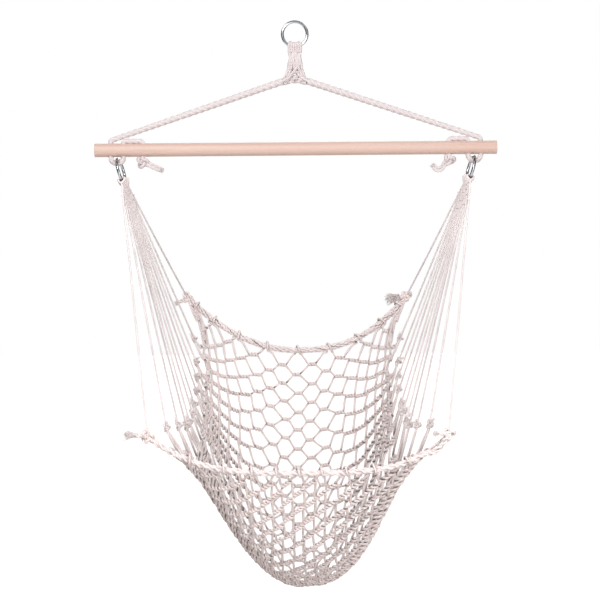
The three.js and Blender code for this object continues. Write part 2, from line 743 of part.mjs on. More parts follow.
function addClews() {
  for (const [name, side] of [['left', -1], ['right', 1]]) {
    for (let index = 0; index < clewCount; index += 1) {
      const { middle, outward } = clewBight(side, index);
      const headReach = (clewLoopRadius + CLEW_DIAMETER / 2) * clewFlatShare + TOUCH_GAP;
      const head = middle.clone().addScaledVector(outward, headReach);
      const bend = head.clone().addScaledVector(outward, CLEW_STRAIGHT);
      const { place, reach } = clewEnd(side, index);
      const upward = bend.clone().sub(place).normalize();
      const foot = place.clone().addScaledVector(upward, reach);
      const halfway = bend.clone().lerp(foot, 0.5);
      const number = String(index + 1).padStart(2, '0');
      addPiece(
        `clew_${name}_${number}`, tubeAlong([head, bend, halfway, foot], CLEW_DIAMETER, CORD_SIDES),
        COTTON,
      );
    }
  }
}

addHangingRing();
addNeckEye();
addNeckPlait();
addBridleRopes();
addSpreaderBar();
addSideRings();
addClewLoops();
addClews();
addNet();
addEdgeRope('back', 0, BACK_ROPE_DIAMETER);
addEdgeRope('front', 1, FRONT_ROPE_DIAMETER);

export default chair;
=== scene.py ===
"""Dresses the hammock chair: laid ropes, twisted net, plaited neck, steel rings and beech bar."""
from __future__ import annotations

import logging
import math
import random
from dataclasses import dataclass, field
from enum import Enum
from typing import Callable, Iterable, Sequence

import bpy
import numpy as np
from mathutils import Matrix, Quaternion, Vector


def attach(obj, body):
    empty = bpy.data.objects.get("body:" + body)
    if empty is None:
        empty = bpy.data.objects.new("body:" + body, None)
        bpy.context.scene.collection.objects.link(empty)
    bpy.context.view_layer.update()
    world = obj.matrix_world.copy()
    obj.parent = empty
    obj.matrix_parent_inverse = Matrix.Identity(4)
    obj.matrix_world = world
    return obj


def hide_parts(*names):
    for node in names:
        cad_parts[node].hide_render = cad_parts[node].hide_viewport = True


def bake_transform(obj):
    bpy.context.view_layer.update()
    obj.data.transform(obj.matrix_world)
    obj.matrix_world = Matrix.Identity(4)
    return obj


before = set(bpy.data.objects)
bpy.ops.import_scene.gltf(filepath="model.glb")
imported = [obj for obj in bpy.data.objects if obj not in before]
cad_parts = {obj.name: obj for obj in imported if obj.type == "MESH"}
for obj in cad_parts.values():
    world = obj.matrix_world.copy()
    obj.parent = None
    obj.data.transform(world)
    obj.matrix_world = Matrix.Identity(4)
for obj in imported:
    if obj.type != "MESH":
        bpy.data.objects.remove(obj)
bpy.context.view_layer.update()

LOG = logging.getLogger("hammock_chair")
UP = np.array((0.0, 0.0, 1.0))
BACK = np.array((0.0, 1.0, 0.0))
RIGHT = np.array((1.0, 0.0, 0.0))
WHITE = (1.0, 1.0, 1.0, 1.0)
BLACK = (0.0, 0.0, 0.0, 1.0)

# Two unit directions whose product is above this run nearly along each other.
STEEP = 0.9
# Places closer than this, in metres, are one place.
SAME_PLACE = 1e-7
# How fast and from where the shade between two touching cords sets in.
CONTACT_GAIN = 1.25
CONTACT_BASE = 0.1
# A knot's depth as a share of its width, to each side.
KNOT_DEPTH_SHARE = 0.30


class Side(Enum):
    """The chair's left and right, by the sign of x."""

    LEFT = -1
    RIGHT = 1

    @property
    def word(self) -> str:
        """The word that piece names end in."""
        return self.name.lower()


class Body(str, Enum):
    """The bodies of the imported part."""

    HOOK_RING = "hanging_ring"
    NECK = "neck"
    PLAIT = "plait"
    YOKE = "yoke"
    LEFT_RING = "left_ring"
    RIGHT_RING = "right_ring"
    SEAT = "seat"


# Routes and frames


def unit(vector: np.ndarray) -> np.ndarray:
    """Returns the vector at length one."""
    return vector / np.linalg.norm(vector)


def mixed(first: np.ndarray | float, second: np.ndarray | float, share: float) -> np.ndarray | float:
    """Returns the value at a share of the way from the first to the second."""
    return first + (second - first) * share


def value_at(pairs: Sequence[tuple[float, float]], share: float) -> float:
    """Returns what pairs of a share and a value give at a share, in straight steps."""
    marks, values = zip(*pairs)
    return float(np.interp(share, marks, values))


def eased(share: np.ndarray | float) -> np.ndarray | float:
    """Returns a share between 0 and 1 that starts and ends slowly."""
    held = np.clip(share, 0.0, 1.0)
    return held * held * (3.0 - 2.0 * held)


def around(first: np.ndarray, second: np.ndarray, angle: float) -> np.ndarray:
    """Returns the direction at an angle from the first of two directions towards the second."""
    return first * math.cos(angle) + second * math.sin(angle)


def beside(way: np.ndarray, wanted: np.ndarray, other: np.ndarray) -> np.ndarray:
    """Returns the wanted direction, or the other one where the way runs almost along the wanted."""
    return wanted if abs(way.dot(wanted)) < STEEP else other


def lengths_along(places: np.ndarray) -> np.ndarray:
    """Returns how far along a line each of its places lies."""
    return np.concatenate(((0.0,), np.cumsum(np.linalg.norm(np.diff(places, axis=0), axis=1))))


class SmoothLine:
    """A centripetal Catmull-Rom line through points, as the solids' own lines are."""

    def __init__(self, points: Sequence[Sequence[float]], divisions: int = 200) -> None:
        """Keeps the points and measures the line.

        Args:
            points: The places that the line goes through, in metres.
            divisions: How many stretches the line is measured in.
        """
        inner = np.array(points, dtype=float)
        first = 2.0 * inner[0] - inner[1]
        last = 2.0 * inner[-1] - inner[-2]
        self.points = np.vstack((first, inner, last))
        self.spans = len(inner) - 1
        self.marks = np.linspace(0.0, 1.0, divisions + 1)
        self.lengths = lengths_along(self.at(self.marks))

    def at(self, shares: np.ndarray) -> np.ndarray:
        """Returns the places at shares of the line's parameter.

        Args:
            shares: Values from 0 to 1.

        Returns:
            One place for each share.
        """
        scaled = np.atleast_1d(shares) * self.spans
        index = np.clip(np.floor(scaled).astype(int), 0, self.spans - 1)
        way = (scaled - index)[:, None]
        p0, p1, p2, p3 = (self.points[index + step] for step in range(4))
        gap0, gap1, gap2 = (
            np.sqrt(np.linalg.norm(b - a, axis=1))[:, None] for a, b in ((p0, p1), (p1, p2), (p2, p3))
        )
        slope1 = ((p1 - p0) / gap0 - (p2 - p0) / (gap0 + gap1) + (p2 - p1) / gap1) * gap1
        slope2 = ((p2 - p1) / gap1 - (p3 - p1) / (gap1 + gap2) + (p3 - p2) / gap2) * gap1
        square = -3.0 * p1 + 3.0 * p2 - 2.0 * slope1 - slope2
        cube = 2.0 * p1 - 2.0 * p2 + slope1 + slope2
        return p1 + slope1 * way + square * way**2 + cube * way**3

    def at_length(self, shares: np.ndarray | float) -> np.ndarray:
        """Returns the places at shares of the line's length."""
        wanted = np.atleast_1d(shares) * self.lengths[-1]
        return self.at(np.interp(wanted, self.lengths, self.marks))

    def spaced(self, spacing: float) -> np.ndarray:
        """Returns places along the whole line, a given spacing apart."""
        count = max(int(math.ceil(self.lengths[-1] / spacing)), 2)
        return self.at_length(np.linspace(0.0, 1.0, count + 1))


def arc(centre: Sequence[float], radius: float, start: float, stop: float, count: int) -> list:
    """Returns places on an arc in the chair's middle plane.

    Args:
        centre: The arc's centre.
        radius: The arc's radius.
        start: Angle from +x towards +z where it starts.
        stop: Angle where it stops.
        count: How many steps it is cut into.

    Returns:
        The places, one more than the steps.
    """
    angles = np.linspace(start, stop, count + 1)
    return [np.array((centre[0] + radius * math.cos(a), centre[1], centre[2] + radius * math.sin(a)))
            for a in angles]


def turns_over(wire: np.ndarray, outward: np.ndarray, across: np.ndarray, reach: float, slack: float,
               angles: np.ndarray) -> list[np.ndarray]:
    """Lays a cord over a ring's wire.

    Args:
        wire: The place on the wire's middle line.
        outward: The way there from the ring's centre.
        across: The ring's axis.
        reach: How far the cord's middle lies from the wire's.
        slack: How much wider it lies at its two sides.
        angles: Where the places lie round the wire.

    Returns:
        The cord's places.
    """
    return [wire - outward * (reach * math.sin(angle)) + across * ((reach + slack) * math.cos(angle))
            for angle in angles]


def densified(places: np.ndarray, spacing: float) -> np.ndarray:
    """Spaces out places evenly along the straight stretches between given places.

    Args:
        places: The given places, in order.
        spacing: About how far apart the new ones are.

    Returns:
        The new places.
    """
    steps = np.linalg.norm(np.diff(places, axis=0), axis=1)
    places = places[np.concatenate(((True,), steps > SAME_PLACE))]
    lengths = lengths_along(places)
    wanted = np.linspace(0.0, lengths[-1], max(int(math.ceil(lengths[-1] / spacing)), 2) + 1)
    return np.column_stack([np.interp(wanted, lengths, places[:, axis]) for axis in range(3)])


def frames_along(route: np.ndarray) -> tuple[np.ndarray, np.ndarray, np.ndarray]:
    """Works out the length so far and an untwisted frame at each place of a route.

    Args:
        route: The places, in order.

    Returns:
        The lengths, and the two directions across the route.
    """
    tangents = np.empty_like(route)
    tangents[1:-1] = route[2:] - route[:-2]
    tangents[0], tangents[-1] = route[1] - route[0], route[-1] - route[-2]
    tangents /= np.linalg.norm(tangents, axis=1)[:, None]
    start = beside(tangents[0], BACK, RIGHT)
    across = np.empty_like(route)
    across[0] = unit(start - tangents[0] * tangents[0].dot(start))
    for place in range(1, len(route)):
        along = tangents[place]
        turned = across[place - 1] - along * along.dot(across[place - 1])
        across[place] = turned / math.sqrt(turned.dot(turned))
    return lengths_along(route), across, np.cross(tangents, across)


# Cords


@dataclass(frozen=True)
class Lay:
    """How a cord is laid: its width, strands, pitch, facets across a strand, and ring spacing."""

    diameter: float
    strands: int
    pitch: float
    facets: int
    spacing: float
    groove: float = 0.6

    def outline(self) -> tuple[np.ndarray, np.ndarray]:
        """Works out the outline round all the strands.

        Returns:
            The angles of its corners, and their distances from the middle.
        """
        count = self.strands * self.facets
        angles = np.arange(count) * (math.tau / count)
        if self.strands == 1:
            return angles, np.full(count, self.diameter / 2.0)
        half = math.pi / self.strands
        strand = self.diameter / 2.0 / (1.0 + 1.0 / math.sin(half))
        middle = strand / math.sin(half)
        off = (angles % (2.0 * half)) - half
        reach = np.sqrt(np.maximum(strand**2 - (middle * np.sin(off)) ** 2, 0.0))
        radii = middle * np.cos(off) + reach
        return angles, np.maximum(radii, self.groove * self.diameter / 2.0)


class CordMesh:
    """Collects the closed tubes of one piece, with a UV map that follows each cord."""

    def __init__(self, name: str) -> None:
        """Starts an empty piece.

        Args:
            name: The piece's name.
        """
        self.name = name
        self.places: list[np.ndarray] = []
        self.faces: list = []
        self.uvs: list[np.ndarray] = []
        self.tints: list[np.ndarray] = []
        self.contacts: list[np.ndarray] = []
        self.count = 0

    def add(self, route: np.ndarray, lay: Lay, tint: float | np.ndarray = 0.5,
            taper: np.ndarray | None = None, inward: np.ndarray | None = None) -> None:
        """Adds a cord along a route.

        Args:
            route: The places of its rings.
            lay: How it is laid.
            tint: Where its colour lies between the darker and the lighter cotton, for all of it
                or at each place.
            taper: A share of its width at each place, or None for the full width.
            inward: The way to the cord that it lies against at each place, whose facing side is painted with
                shade, or None.
        """
        route = np.asarray(route, dtype=float)
        angles, radii = lay.outline()
        lengths, across, over = frames_along(route)
        turn = angles[None, :] + (math.tau / lay.pitch) * lengths[:, None]
        width = radii[None, :] * (np.ones(len(route)) if taper is None else taper)[:, None]
        places = (route[:, None, :] + (width * np.cos(turn))[:, :, None] * across[:, None, :]
                  + (width * np.sin(turn))[:, :, None] * over[:, None, :])
        rings, sides = turn.shape
        # Painted shade, strongest on the side of the cord that faces its neighbour.
        contact = np.zeros((rings, sides))
        if inward is not None:
            facing = (np.cos(turn) * (across * inward).sum(axis=1)[:, None]
                      + np.sin(turn) * (over * inward).sum(axis=1)[:, None])
            contact = np.clip(facing * CONTACT_GAIN + CONTACT_BASE, 0.0, 1.0)
            contact = contact * np.linalg.norm(inward, axis=1)[:, None]
        self.contacts.append(contact.ravel())
        index = self.count + np.arange(rings * sides).reshape(rings, sides)
        onward = np.roll(index, -1, axis=1)
        quads = np.stack((index[:-1], onward[:-1], onward[1:], index[1:]), axis=-1).reshape(-1, 4)
        low = np.broadcast_to(np.arange(sides) / lay.facets, (rings - 1, sides))
        high = low + 1.0 / lay.facets
        if lay.strands == 1:
            low, high = np.full_like(low, 0.5), np.full_like(high, 0.5)
        here = np.broadcast_to(lengths[:-1, None] / lay.diameter, (rings - 1, sides))
        there = np.broadcast_to(lengths[1:, None] / lay.diameter, (rings - 1, sides))
        corners = np.stack((low, here, high, here, high, there, low, there), axis=-1)
        self.faces.extend(quads.tolist())
        self.uvs.append(corners.reshape(-1, 2))
        for cap, height in ((index[0][::-1], lengths[0]), (index[-1], lengths[-1])):
            self.faces.append(cap.tolist())
            self.uvs.append(np.full((sides, 2), (0.5, height / lay.diameter)))
        self.places.append(places.reshape(-1, 3))
        self.tints.append(np.repeat(np.broadcast_to(tint, rings), sides))
        self.count += rings * sides

    def finish(self, dress: Finish) -> bpy.types.Object:
        """Makes the object.

        Args:
            dress: The finish that it wears.

        Returns:
            The new object, at the origin.
        """
        mesh = bpy.data.meshes.new(self.name)
        mesh.from_pydata(np.concatenate(self.places).tolist(), [], self.faces)
        layer = mesh.uv_layers.new(name="Lay")
        layer.data.foreach_set("uv", np.concatenate(self.uvs).ravel())
        for word, values in (("tint", self.tints), ("contact", self.contacts)):
            layer = mesh.attributes.new(word, "FLOAT", "POINT")
            layer.data.foreach_set("value", np.concatenate(values))
        mesh.shade_smooth()
        piece = bpy.data.objects.new(self.name, mesh)
        bpy.context.scene.collection.objects.link(piece)
        mesh.materials.append(dress.material())
        LOG.info("%s: %d faces", self.name, len(self.faces))
        return piece


# Finishes


class Graph:
    """Adds and links the nodes of one material."""

    def __init__(self, tree: bpy.types.NodeTree) -> None:
        """Keeps the tree and empties it."""
        self.tree = tree
        tree.nodes.clear()

    def add(self, kind: str, settings: dict | None = None, **inputs: object) -> bpy.types.Node:
        """Adds a node.

        Args:
            kind: The node's type, without its leading words.
            settings: Properties of the node itself.
            **inputs: Values or output sockets for its inputs, by name with _ for a space, or
                by number after in_.

        Returns:
            The node.
        """
        node = self.tree.nodes.new("ShaderNode" + kind)
        for name, value in (settings or {}).items():
            setattr(node, name, value)
        for name, value in inputs.items():
            key = int(name[3:]) if name.startswith("in_") else name.replace("_", " ")
            if isinstance(value, bpy.types.NodeSocket):
                self.tree.links.new(value, node.inputs[key])
            else:
                node.inputs[key].default_value = value
        return node

    def maths(self, operation: str, first: object, second: object = 0.0,
              third: object = 0.0) -> bpy.types.NodeSocket:
        """Adds a Math node and returns its output."""
        settings = {"operation": operation}
        return self.add("Math", settings, in_0=first, in_1=second, in_2=third).outputs[0]

    def weighed(self, *pairs: tuple[object, float]) -> bpy.types.NodeSocket:
        """Adds up values, each times its share.

        Args:
            *pairs: Each value with its share.

        Returns:
            The sum.
        """
        total: object = 0.0
        for value, share in pairs:
            total = self.maths("MULTIPLY_ADD", value, share, total)
        return total

    def place(self) -> bpy.types.NodeSocket:
        """Returns the place in the object's own coordinates."""
        return self.add("TexCoord").outputs["Object"]

    def noise(self, place: object, scale: float, detail: float, **inputs: object) -> bpy.types.NodeSocket:
        """Adds a noise texture and returns its value."""
        return self.add("TexNoise", Vector=place, Scale=scale, Detail=detail, **inputs).outputs[0]

    def reading(self, name: str) -> bpy.types.NodeSocket:
        """Returns the value of an attribute of the points."""
        return self.add("Attribute", {"attribute_name": name}).outputs["Fac"]

    def bump(self, strength: float, distance: float, height: object) -> bpy.types.NodeSocket:
        """Adds a bump and returns its normal."""
        return self.add("Bump", Strength=strength, Distance=distance, Height=height).outputs[0]

    def any_ray(self, *kinds: str) -> bpy.types.NodeSocket:
        """Tells rays of some kinds from the others.

        Args:
            *kinds: The kinds, by the names of the outputs.

        Returns:
            A value that is 1 for these rays and 0 for others.
        """
        rays = self.add("LightPath").outputs
        found = rays[kinds[0]]
        for kind in kinds[1:]:
            found = self.maths("MAXIMUM", found, rays[kind])
        return found

    def ramp(self, factor: object, stops: Iterable[tuple[float, Sequence[float]]]) -> bpy.types.NodeSocket:
        """Adds a colour ramp.

        Args:
            factor: The value that it reads.
            stops: The places and the colours of its stops.

        Returns:
            Its colour output.
        """
        node = self.add("ValToRGB", in_0=factor)
        band = node.color_ramp
        for number, (place, colour) in enumerate(stops):
            stop = band.elements[number] if number < 2 else band.elements.new(place)
            stop.position = place
            stop.color = colour
        return node.outputs[0]

    def mix(self, factor: object, first: object, second: object, blend: str = "MIX") -> bpy.types.NodeSocket:
        """Adds a colour mix and returns its output."""
        settings = {"data_type": "RGBA", "blend_type": blend}
        return self.add("Mix", settings, in_0=factor, in_6=first, in_7=second).outputs[2]


def colour(red: float, green: float, blue: float) -> tuple[float, float, float, float]:
    """Turns a colour as a screen shows it into the linear values that Blender reads.

    Args:
        red: Its red, from 0 to 1.
        green: Its green.
        blue: Its blue.

    Returns:
        The linear red, green and blue, and 1 for opaque.
    """
    parts = (part / 12.92 if part <= 0.04045 else ((part + 0.055) / 1.055) ** 2.4
             for part in (red, green, blue))
    return (*parts, 1.0)


def new_material(name: str) -> tuple[bpy.types.Material, Graph]:
    """Makes a node material.

    Args:
        name: Its name.

    Returns:
        The material and its empty graph.
    """
    made = bpy.data.materials.new(name)
    made.use_nodes = True
    return made, Graph(made.node_tree)


@dataclass(frozen=True)
class Finish:
    """A finish that is made once and worn by many pieces."""

    name: str

    def material(self) -> bpy.types.Material:
        """Finds the finish's material, or makes it on first use.

        Returns:
            The material.
        """
        known = bpy.data.materials.get(self.name)
        if known is not None:
            return known
        made, graph = new_material(self.name)
        graph.add("OutputMaterial", Surface=self.shade(graph))
        return made

    def shade(self, graph: Graph) -> bpy.types.NodeSocket:
        """Builds the nodes and returns the shader's output."""
        raise NotImplementedError


@dataclass(frozen=True)
class Cotton(Finish):
    """Soft cotton cord: yarns that lie across each strand, fuzz, painted shade in the grooves between
    strands, and painted shade on the side of a cord that faces its neighbour.
    """

    light: tuple = colour(1.0, 0.960, 0.955)
    dark: tuple = colour(0.972, 0.892, 0.880)
    # Painted shade in the grooves between strands.
    groove: tuple = colour(0.505, 0.392, 0.374)
    # Painted shade where a cord touches its neighbour.
    contact_shade_colour: tuple = colour(0.230, 0.158, 0.142)
    fleck: tuple = (0.90, 0.89, 0.89, 1.0)
    yarns: float = 4.0
    slant: float = 1.6
    relief: float = 0.00025
    # How strongly the painted shade in the grooves darkens each strand.
    crease: float = 0.52
    # How strongly the painted shade where cords touch darkens them.
    contact_shade_strength: float = 0.9
    fleck_share: float = 0.7
    tint_share: float = 0.45
    patch_share: float = 0.5
    yarn_share: float = 0.22
    fuzz_scale: float = 900.0
    patch_scale: float = 26.0
    roughness: float = 0.92

    def shade(self, graph: Graph) -> bpy.types.NodeSocket:
        """Builds the cotton's nodes.

        Args:
            graph: The material's empty graph.

        Returns:
            The shader's output.
        """
        place = graph.place()
        lay = graph.add("UVMap", {"uv_map": "Lay"}).outputs[0]
        across, along = graph.add("SeparateXYZ", Vector=lay).outputs[:2]
        phase = graph.maths("MULTIPLY", graph.weighed((across, self.yarns), (along, -self.slant)), math.tau)
        yarn = graph.maths("MULTIPLY_ADD", graph.maths("SINE", phase), 0.5, 0.5)
        fuzz = graph.noise(place, self.fuzz_scale, 3.0, Roughness=0.65)
        patch = graph.noise(place, self.patch_scale, 3.0)
        tint = graph.reading("tint")
        blend = graph.weighed((tint, self.tint_share), (patch, self.patch_share), (yarn, self.yarn_share))
        shade = graph.ramp(blend, ((0.15, self.dark), (0.75, self.light)))
        flecks = graph.ramp(fuzz, ((0.3, self.fleck), (0.62, WHITE)))
        flecked = graph.mix(self.fleck_share, shade, flecks, "MULTIPLY")
        # Darkens each strand towards its grooves: painted shade.
        offset = graph.maths("ABSOLUTE", graph.maths("SUBTRACT", graph.maths("FRACT", across), 0.5))
        depth = graph.maths("POWER", graph.maths("MULTIPLY", offset, 2.0), 6.0)
        groove_shaded = graph.mix(graph.maths("MULTIPLY", depth, self.crease), flecked, self.groove)
        # Darkens the side of a cord that faces its neighbour: painted shade.
        touching = graph.maths("MULTIPLY", graph.reading("contact"), self.contact_shade_strength)
        base = graph.mix(touching, groove_shaded, self.contact_shade_colour)
        bump = graph.bump(0.6, self.relief, graph.weighed((yarn, 1.0), (fuzz, 0.5)))
        return graph.add("BsdfPrincipled", Base_Color=base, Roughness=self.roughness, Sheen_Weight=0.25,
                         Sheen_Roughness=0.5, Normal=bump).outputs[0]


@dataclass(frozen=True)
class Steel(Finish):
    """Bright plated steel with fine wear marks."""

    tone: tuple = colour(0.70, 0.71, 0.725)
    worn: tuple = colour(0.57, 0.58, 0.60)
    polish: float = 0.015
    wear: float = 0.06

    def shade(self, graph: Graph) -> bpy.types.NodeSocket:
        """Builds the steel's nodes.

        Args:
            graph: The material's empty graph.

        Returns:
            The shader's output.
        """
        place = graph.place()
        cloud = graph.noise(place, 60.0, 4.0)
        base = graph.ramp(cloud, ((0.3, self.worn), (0.7, self.tone)))
        rough = graph.maths("MULTIPLY_ADD", cloud, self.wear, self.polish)
        bump = graph.bump(0.06, 0.0001, graph.noise(place, 1400.0, 2.0))
        return graph.add("BsdfPrincipled", Base_Color=base, Metallic=1.0, Roughness=rough,
                         Normal=bump).outputs[0]


@dataclass(frozen=True)
class Beech(Finish):
    """Sanded beech: long grain, short flecks and a few darker streaks along the bar."""

    pale: tuple = colour(0.858, 0.752, 0.705)
    warm: tuple = colour(0.815, 0.686, 0.634)
    streak: tuple = colour(0.76, 0.60, 0.54)
    fleck: tuple = colour(0.80, 0.74, 0.70)
    grain_scale: tuple = (1.6, 70.0, 70.0)
    fleck_scale: tuple = (90.0, 900.0, 900.0)

    def shade(self, graph: Graph) -> bpy.types.NodeSocket:
        """Builds the beech's nodes.

        Args:
            graph: The material's empty graph.

        Returns:
            The shader's output.
        """
        place = graph.place()
        long = graph.add("Mapping", Vector=place, Scale=self.grain_scale).outputs[0]
        grain = graph.noise(long, 1.0, 5.0, Distortion=0.6)
        short = graph.add("Mapping", Vector=place, Scale=self.fleck_scale).outputs[0]
        cells = graph.add("TexVoronoi", Vector=short, Scale=1.0).outputs["Distance"]
        tone = graph.ramp(grain, ((0.25, self.warm), (0.7, self.pale)))
        dark = graph.ramp(grain, ((0.60, BLACK), (0.66, WHITE)))
        streaked = graph.mix(graph.maths("MULTIPLY", dark, 0.35), tone, self.streak)
        flecks = graph.ramp(cells, ((0.08, self.fleck), (0.22, WHITE)))
        base = graph.mix(0.6, streaked, flecks, "MULTIPLY")
        rough = graph.maths("MULTIPLY_ADD", grain, 0.2, 0.42)
        bump = graph.bump(0.25, 0.0003, cells)
        return graph.add("BsdfPrincipled", Base_Color=base, Roughness=rough, Normal=bump).outputs[0]


COTTON = Cotton("soft_cotton")
ROPE_COTTON = Cotton("rope_cotton", yarns=3.0, slant=0.9, relief=0.0005)
# A darker copy of the cotton for the neck and the bridle ropes: painted shade that keeps them dimmer than
# the net under the same lamps.
SHADED_COTTON = Cotton("shaded_cotton", dark=colour(0.850, 0.805, 0.808), light=colour(0.890, 0.850, 0.852),
                     groove=colour(0.680, 0.620, 0.624), relief=0.00012, crease=0.45)
# The clews' cotton: its much darker dark end is painted shade along the cords, and the tints near the head
# reach its light end as painted light.
CLEW_COTTON = Cotton("clew_cotton", dark=colour(0.700, 0.640, 0.640), light=colour(1.000, 0.960, 0.958),
                       groove=colour(0.690, 0.610, 0.610), relief=0.00012, crease=0.35)
STEEL = Steel("plated_steel")
BEECH = Beech("sanded_beech")


# Sizes, in metres


@dataclass(frozen=True)
class ChairSizes:
    """The sizes that the dressed pieces share with the solids."""

    ring_radius: float = 0.02775
    wire_radius: float = 0.00325
    ring_lean: float = math.radians(15.0)
    ring_turn: float = math.radians(6.5)
    bar_length: float = 0.9
    bar_radius: float = 0.015
    bar_height: float = -0.2815
    hole_radius: float = 0.007
    loop_place: float = 0.400
    loop_radius: float = 0.014
    loop_gap: float = 0.0004
    stopper_place: float = 0.343
    bridle_width: float = 0.012
    bend_radius: float = 0.0065
    bridle_lift: float = 0.002
    bridle_press: float = 0.001
    touch: float = 0.0003
    neck_top: float = -0.06405
    neck_split: float = -0.12605
    neck_strand: float = 0.0055
    neck_spread: float = 0.028
    loop_top: float = -0.2976
    clew_width: float = 0.004
    clew_bore: float = 0.0112
    clew_slide: float = 0.0005
    clew_fan: float = math.radians(90.0)

    @property
    def hook_ring_centre(self) -> np.ndarray:
        """The centre of the ring on the hook."""
        return np.array((0.0, 0.0, self.wire_radius - self.ring_radius))


SIZES = ChairSizes()


@dataclass(frozen=True)
class SeatSizes:
    """The places of the seat's corners and how far its edges sag, as in the solids.

    The panels' places and the edge's marks are shares of the way forward and down, and the edge's
    marks also hold how far the selvage flares from the waist's width to the corner's.
    """

    back_width: float = 0.530
    waist_width: float = 0.460
    front_width: float = 0.606
    back_depth: float = 0.280
    back_drop: float = 0.330
    back_sag: float = 0.128
    back_lean: float = 0.040
    front_depth: float = 0.356
    front_drop: float = 0.612
    front_sag: float = 0.075
    front_lean: float = 0.012
    selvage_drop: float = 0.286
    bottom_depth: float = 0.016
    lowest: float = -1.2515
    back_panel: tuple = ((0.1, 0.33), (0.32, 0.68), (0.66, 0.93))
    front_panel: tuple = ((0.3, 0.08), (0.6, 0.34), (0.84, 0.68))
    edge_marks: tuple = (
        (0.1, 0.36, 0.35), (0.26, 0.68, 0.0), (0.46, 0.9, 0.0), (0.66, 1.0, 0.1), (0.84, 0.965, 0.42),
    )
    selvage_shares: tuple = (
        (0.0, 0.0), (0.05, 0.15), (0.1, 0.26), (0.2, 0.41), (0.3, 0.5), (0.5, 0.59), (0.7, 0.71), (1.0, 1.0),
    )
    section_powers: tuple = (
        ((0.0, 2.0), (0.3, 2.2), (0.6, 1.9), (1.0, 3.2)),
        ((0.0, 2.5), (0.3, 2.8), (0.6, 2.9), (1.0, 4.0)),
    )
    columns: int = 20
    rows: int = 46
    cord: float = 0.004
    twist_share: float = 0.3
    bunching: tuple = ((0.0, 0.42), (0.45, 0.36), (0.65, 0.05), (0.85, -0.20), (1.0, -0.25))
    gather: float = 0.35
    gather_power: float = 6.0
    scallop: float = 0.02
    back_rope: float = 0.017
    front_rope: float = 0.0155
    side_powers: tuple = (
        ((0.0, 1.8), (0.12, 2.2), (0.3, 3.5), (0.55, 3.0), (0.75, 2.4), (1.0, 2.2)),
        ((0.0, 1.8), (0.12, 2.2), (0.3, 3.5), (0.6, 3.0), (1.0, 2.4)),
    )
    tips: tuple = (0, 6, 12, 16, 20, 24, 26, 30, 32, 38, 42, 46)
    tip_ways: tuple = (0.0, 0.05, 0.1, 0.15, 0.2, 0.3, 0.45, 0.6, 0.7, 0.8, 0.9, 1.0)

    def even(self, column: float) -> float:
        """Returns how far across a column lies in the flat net, from -1 to 1."""
        return 2.0 * column / self.columns - 1.0


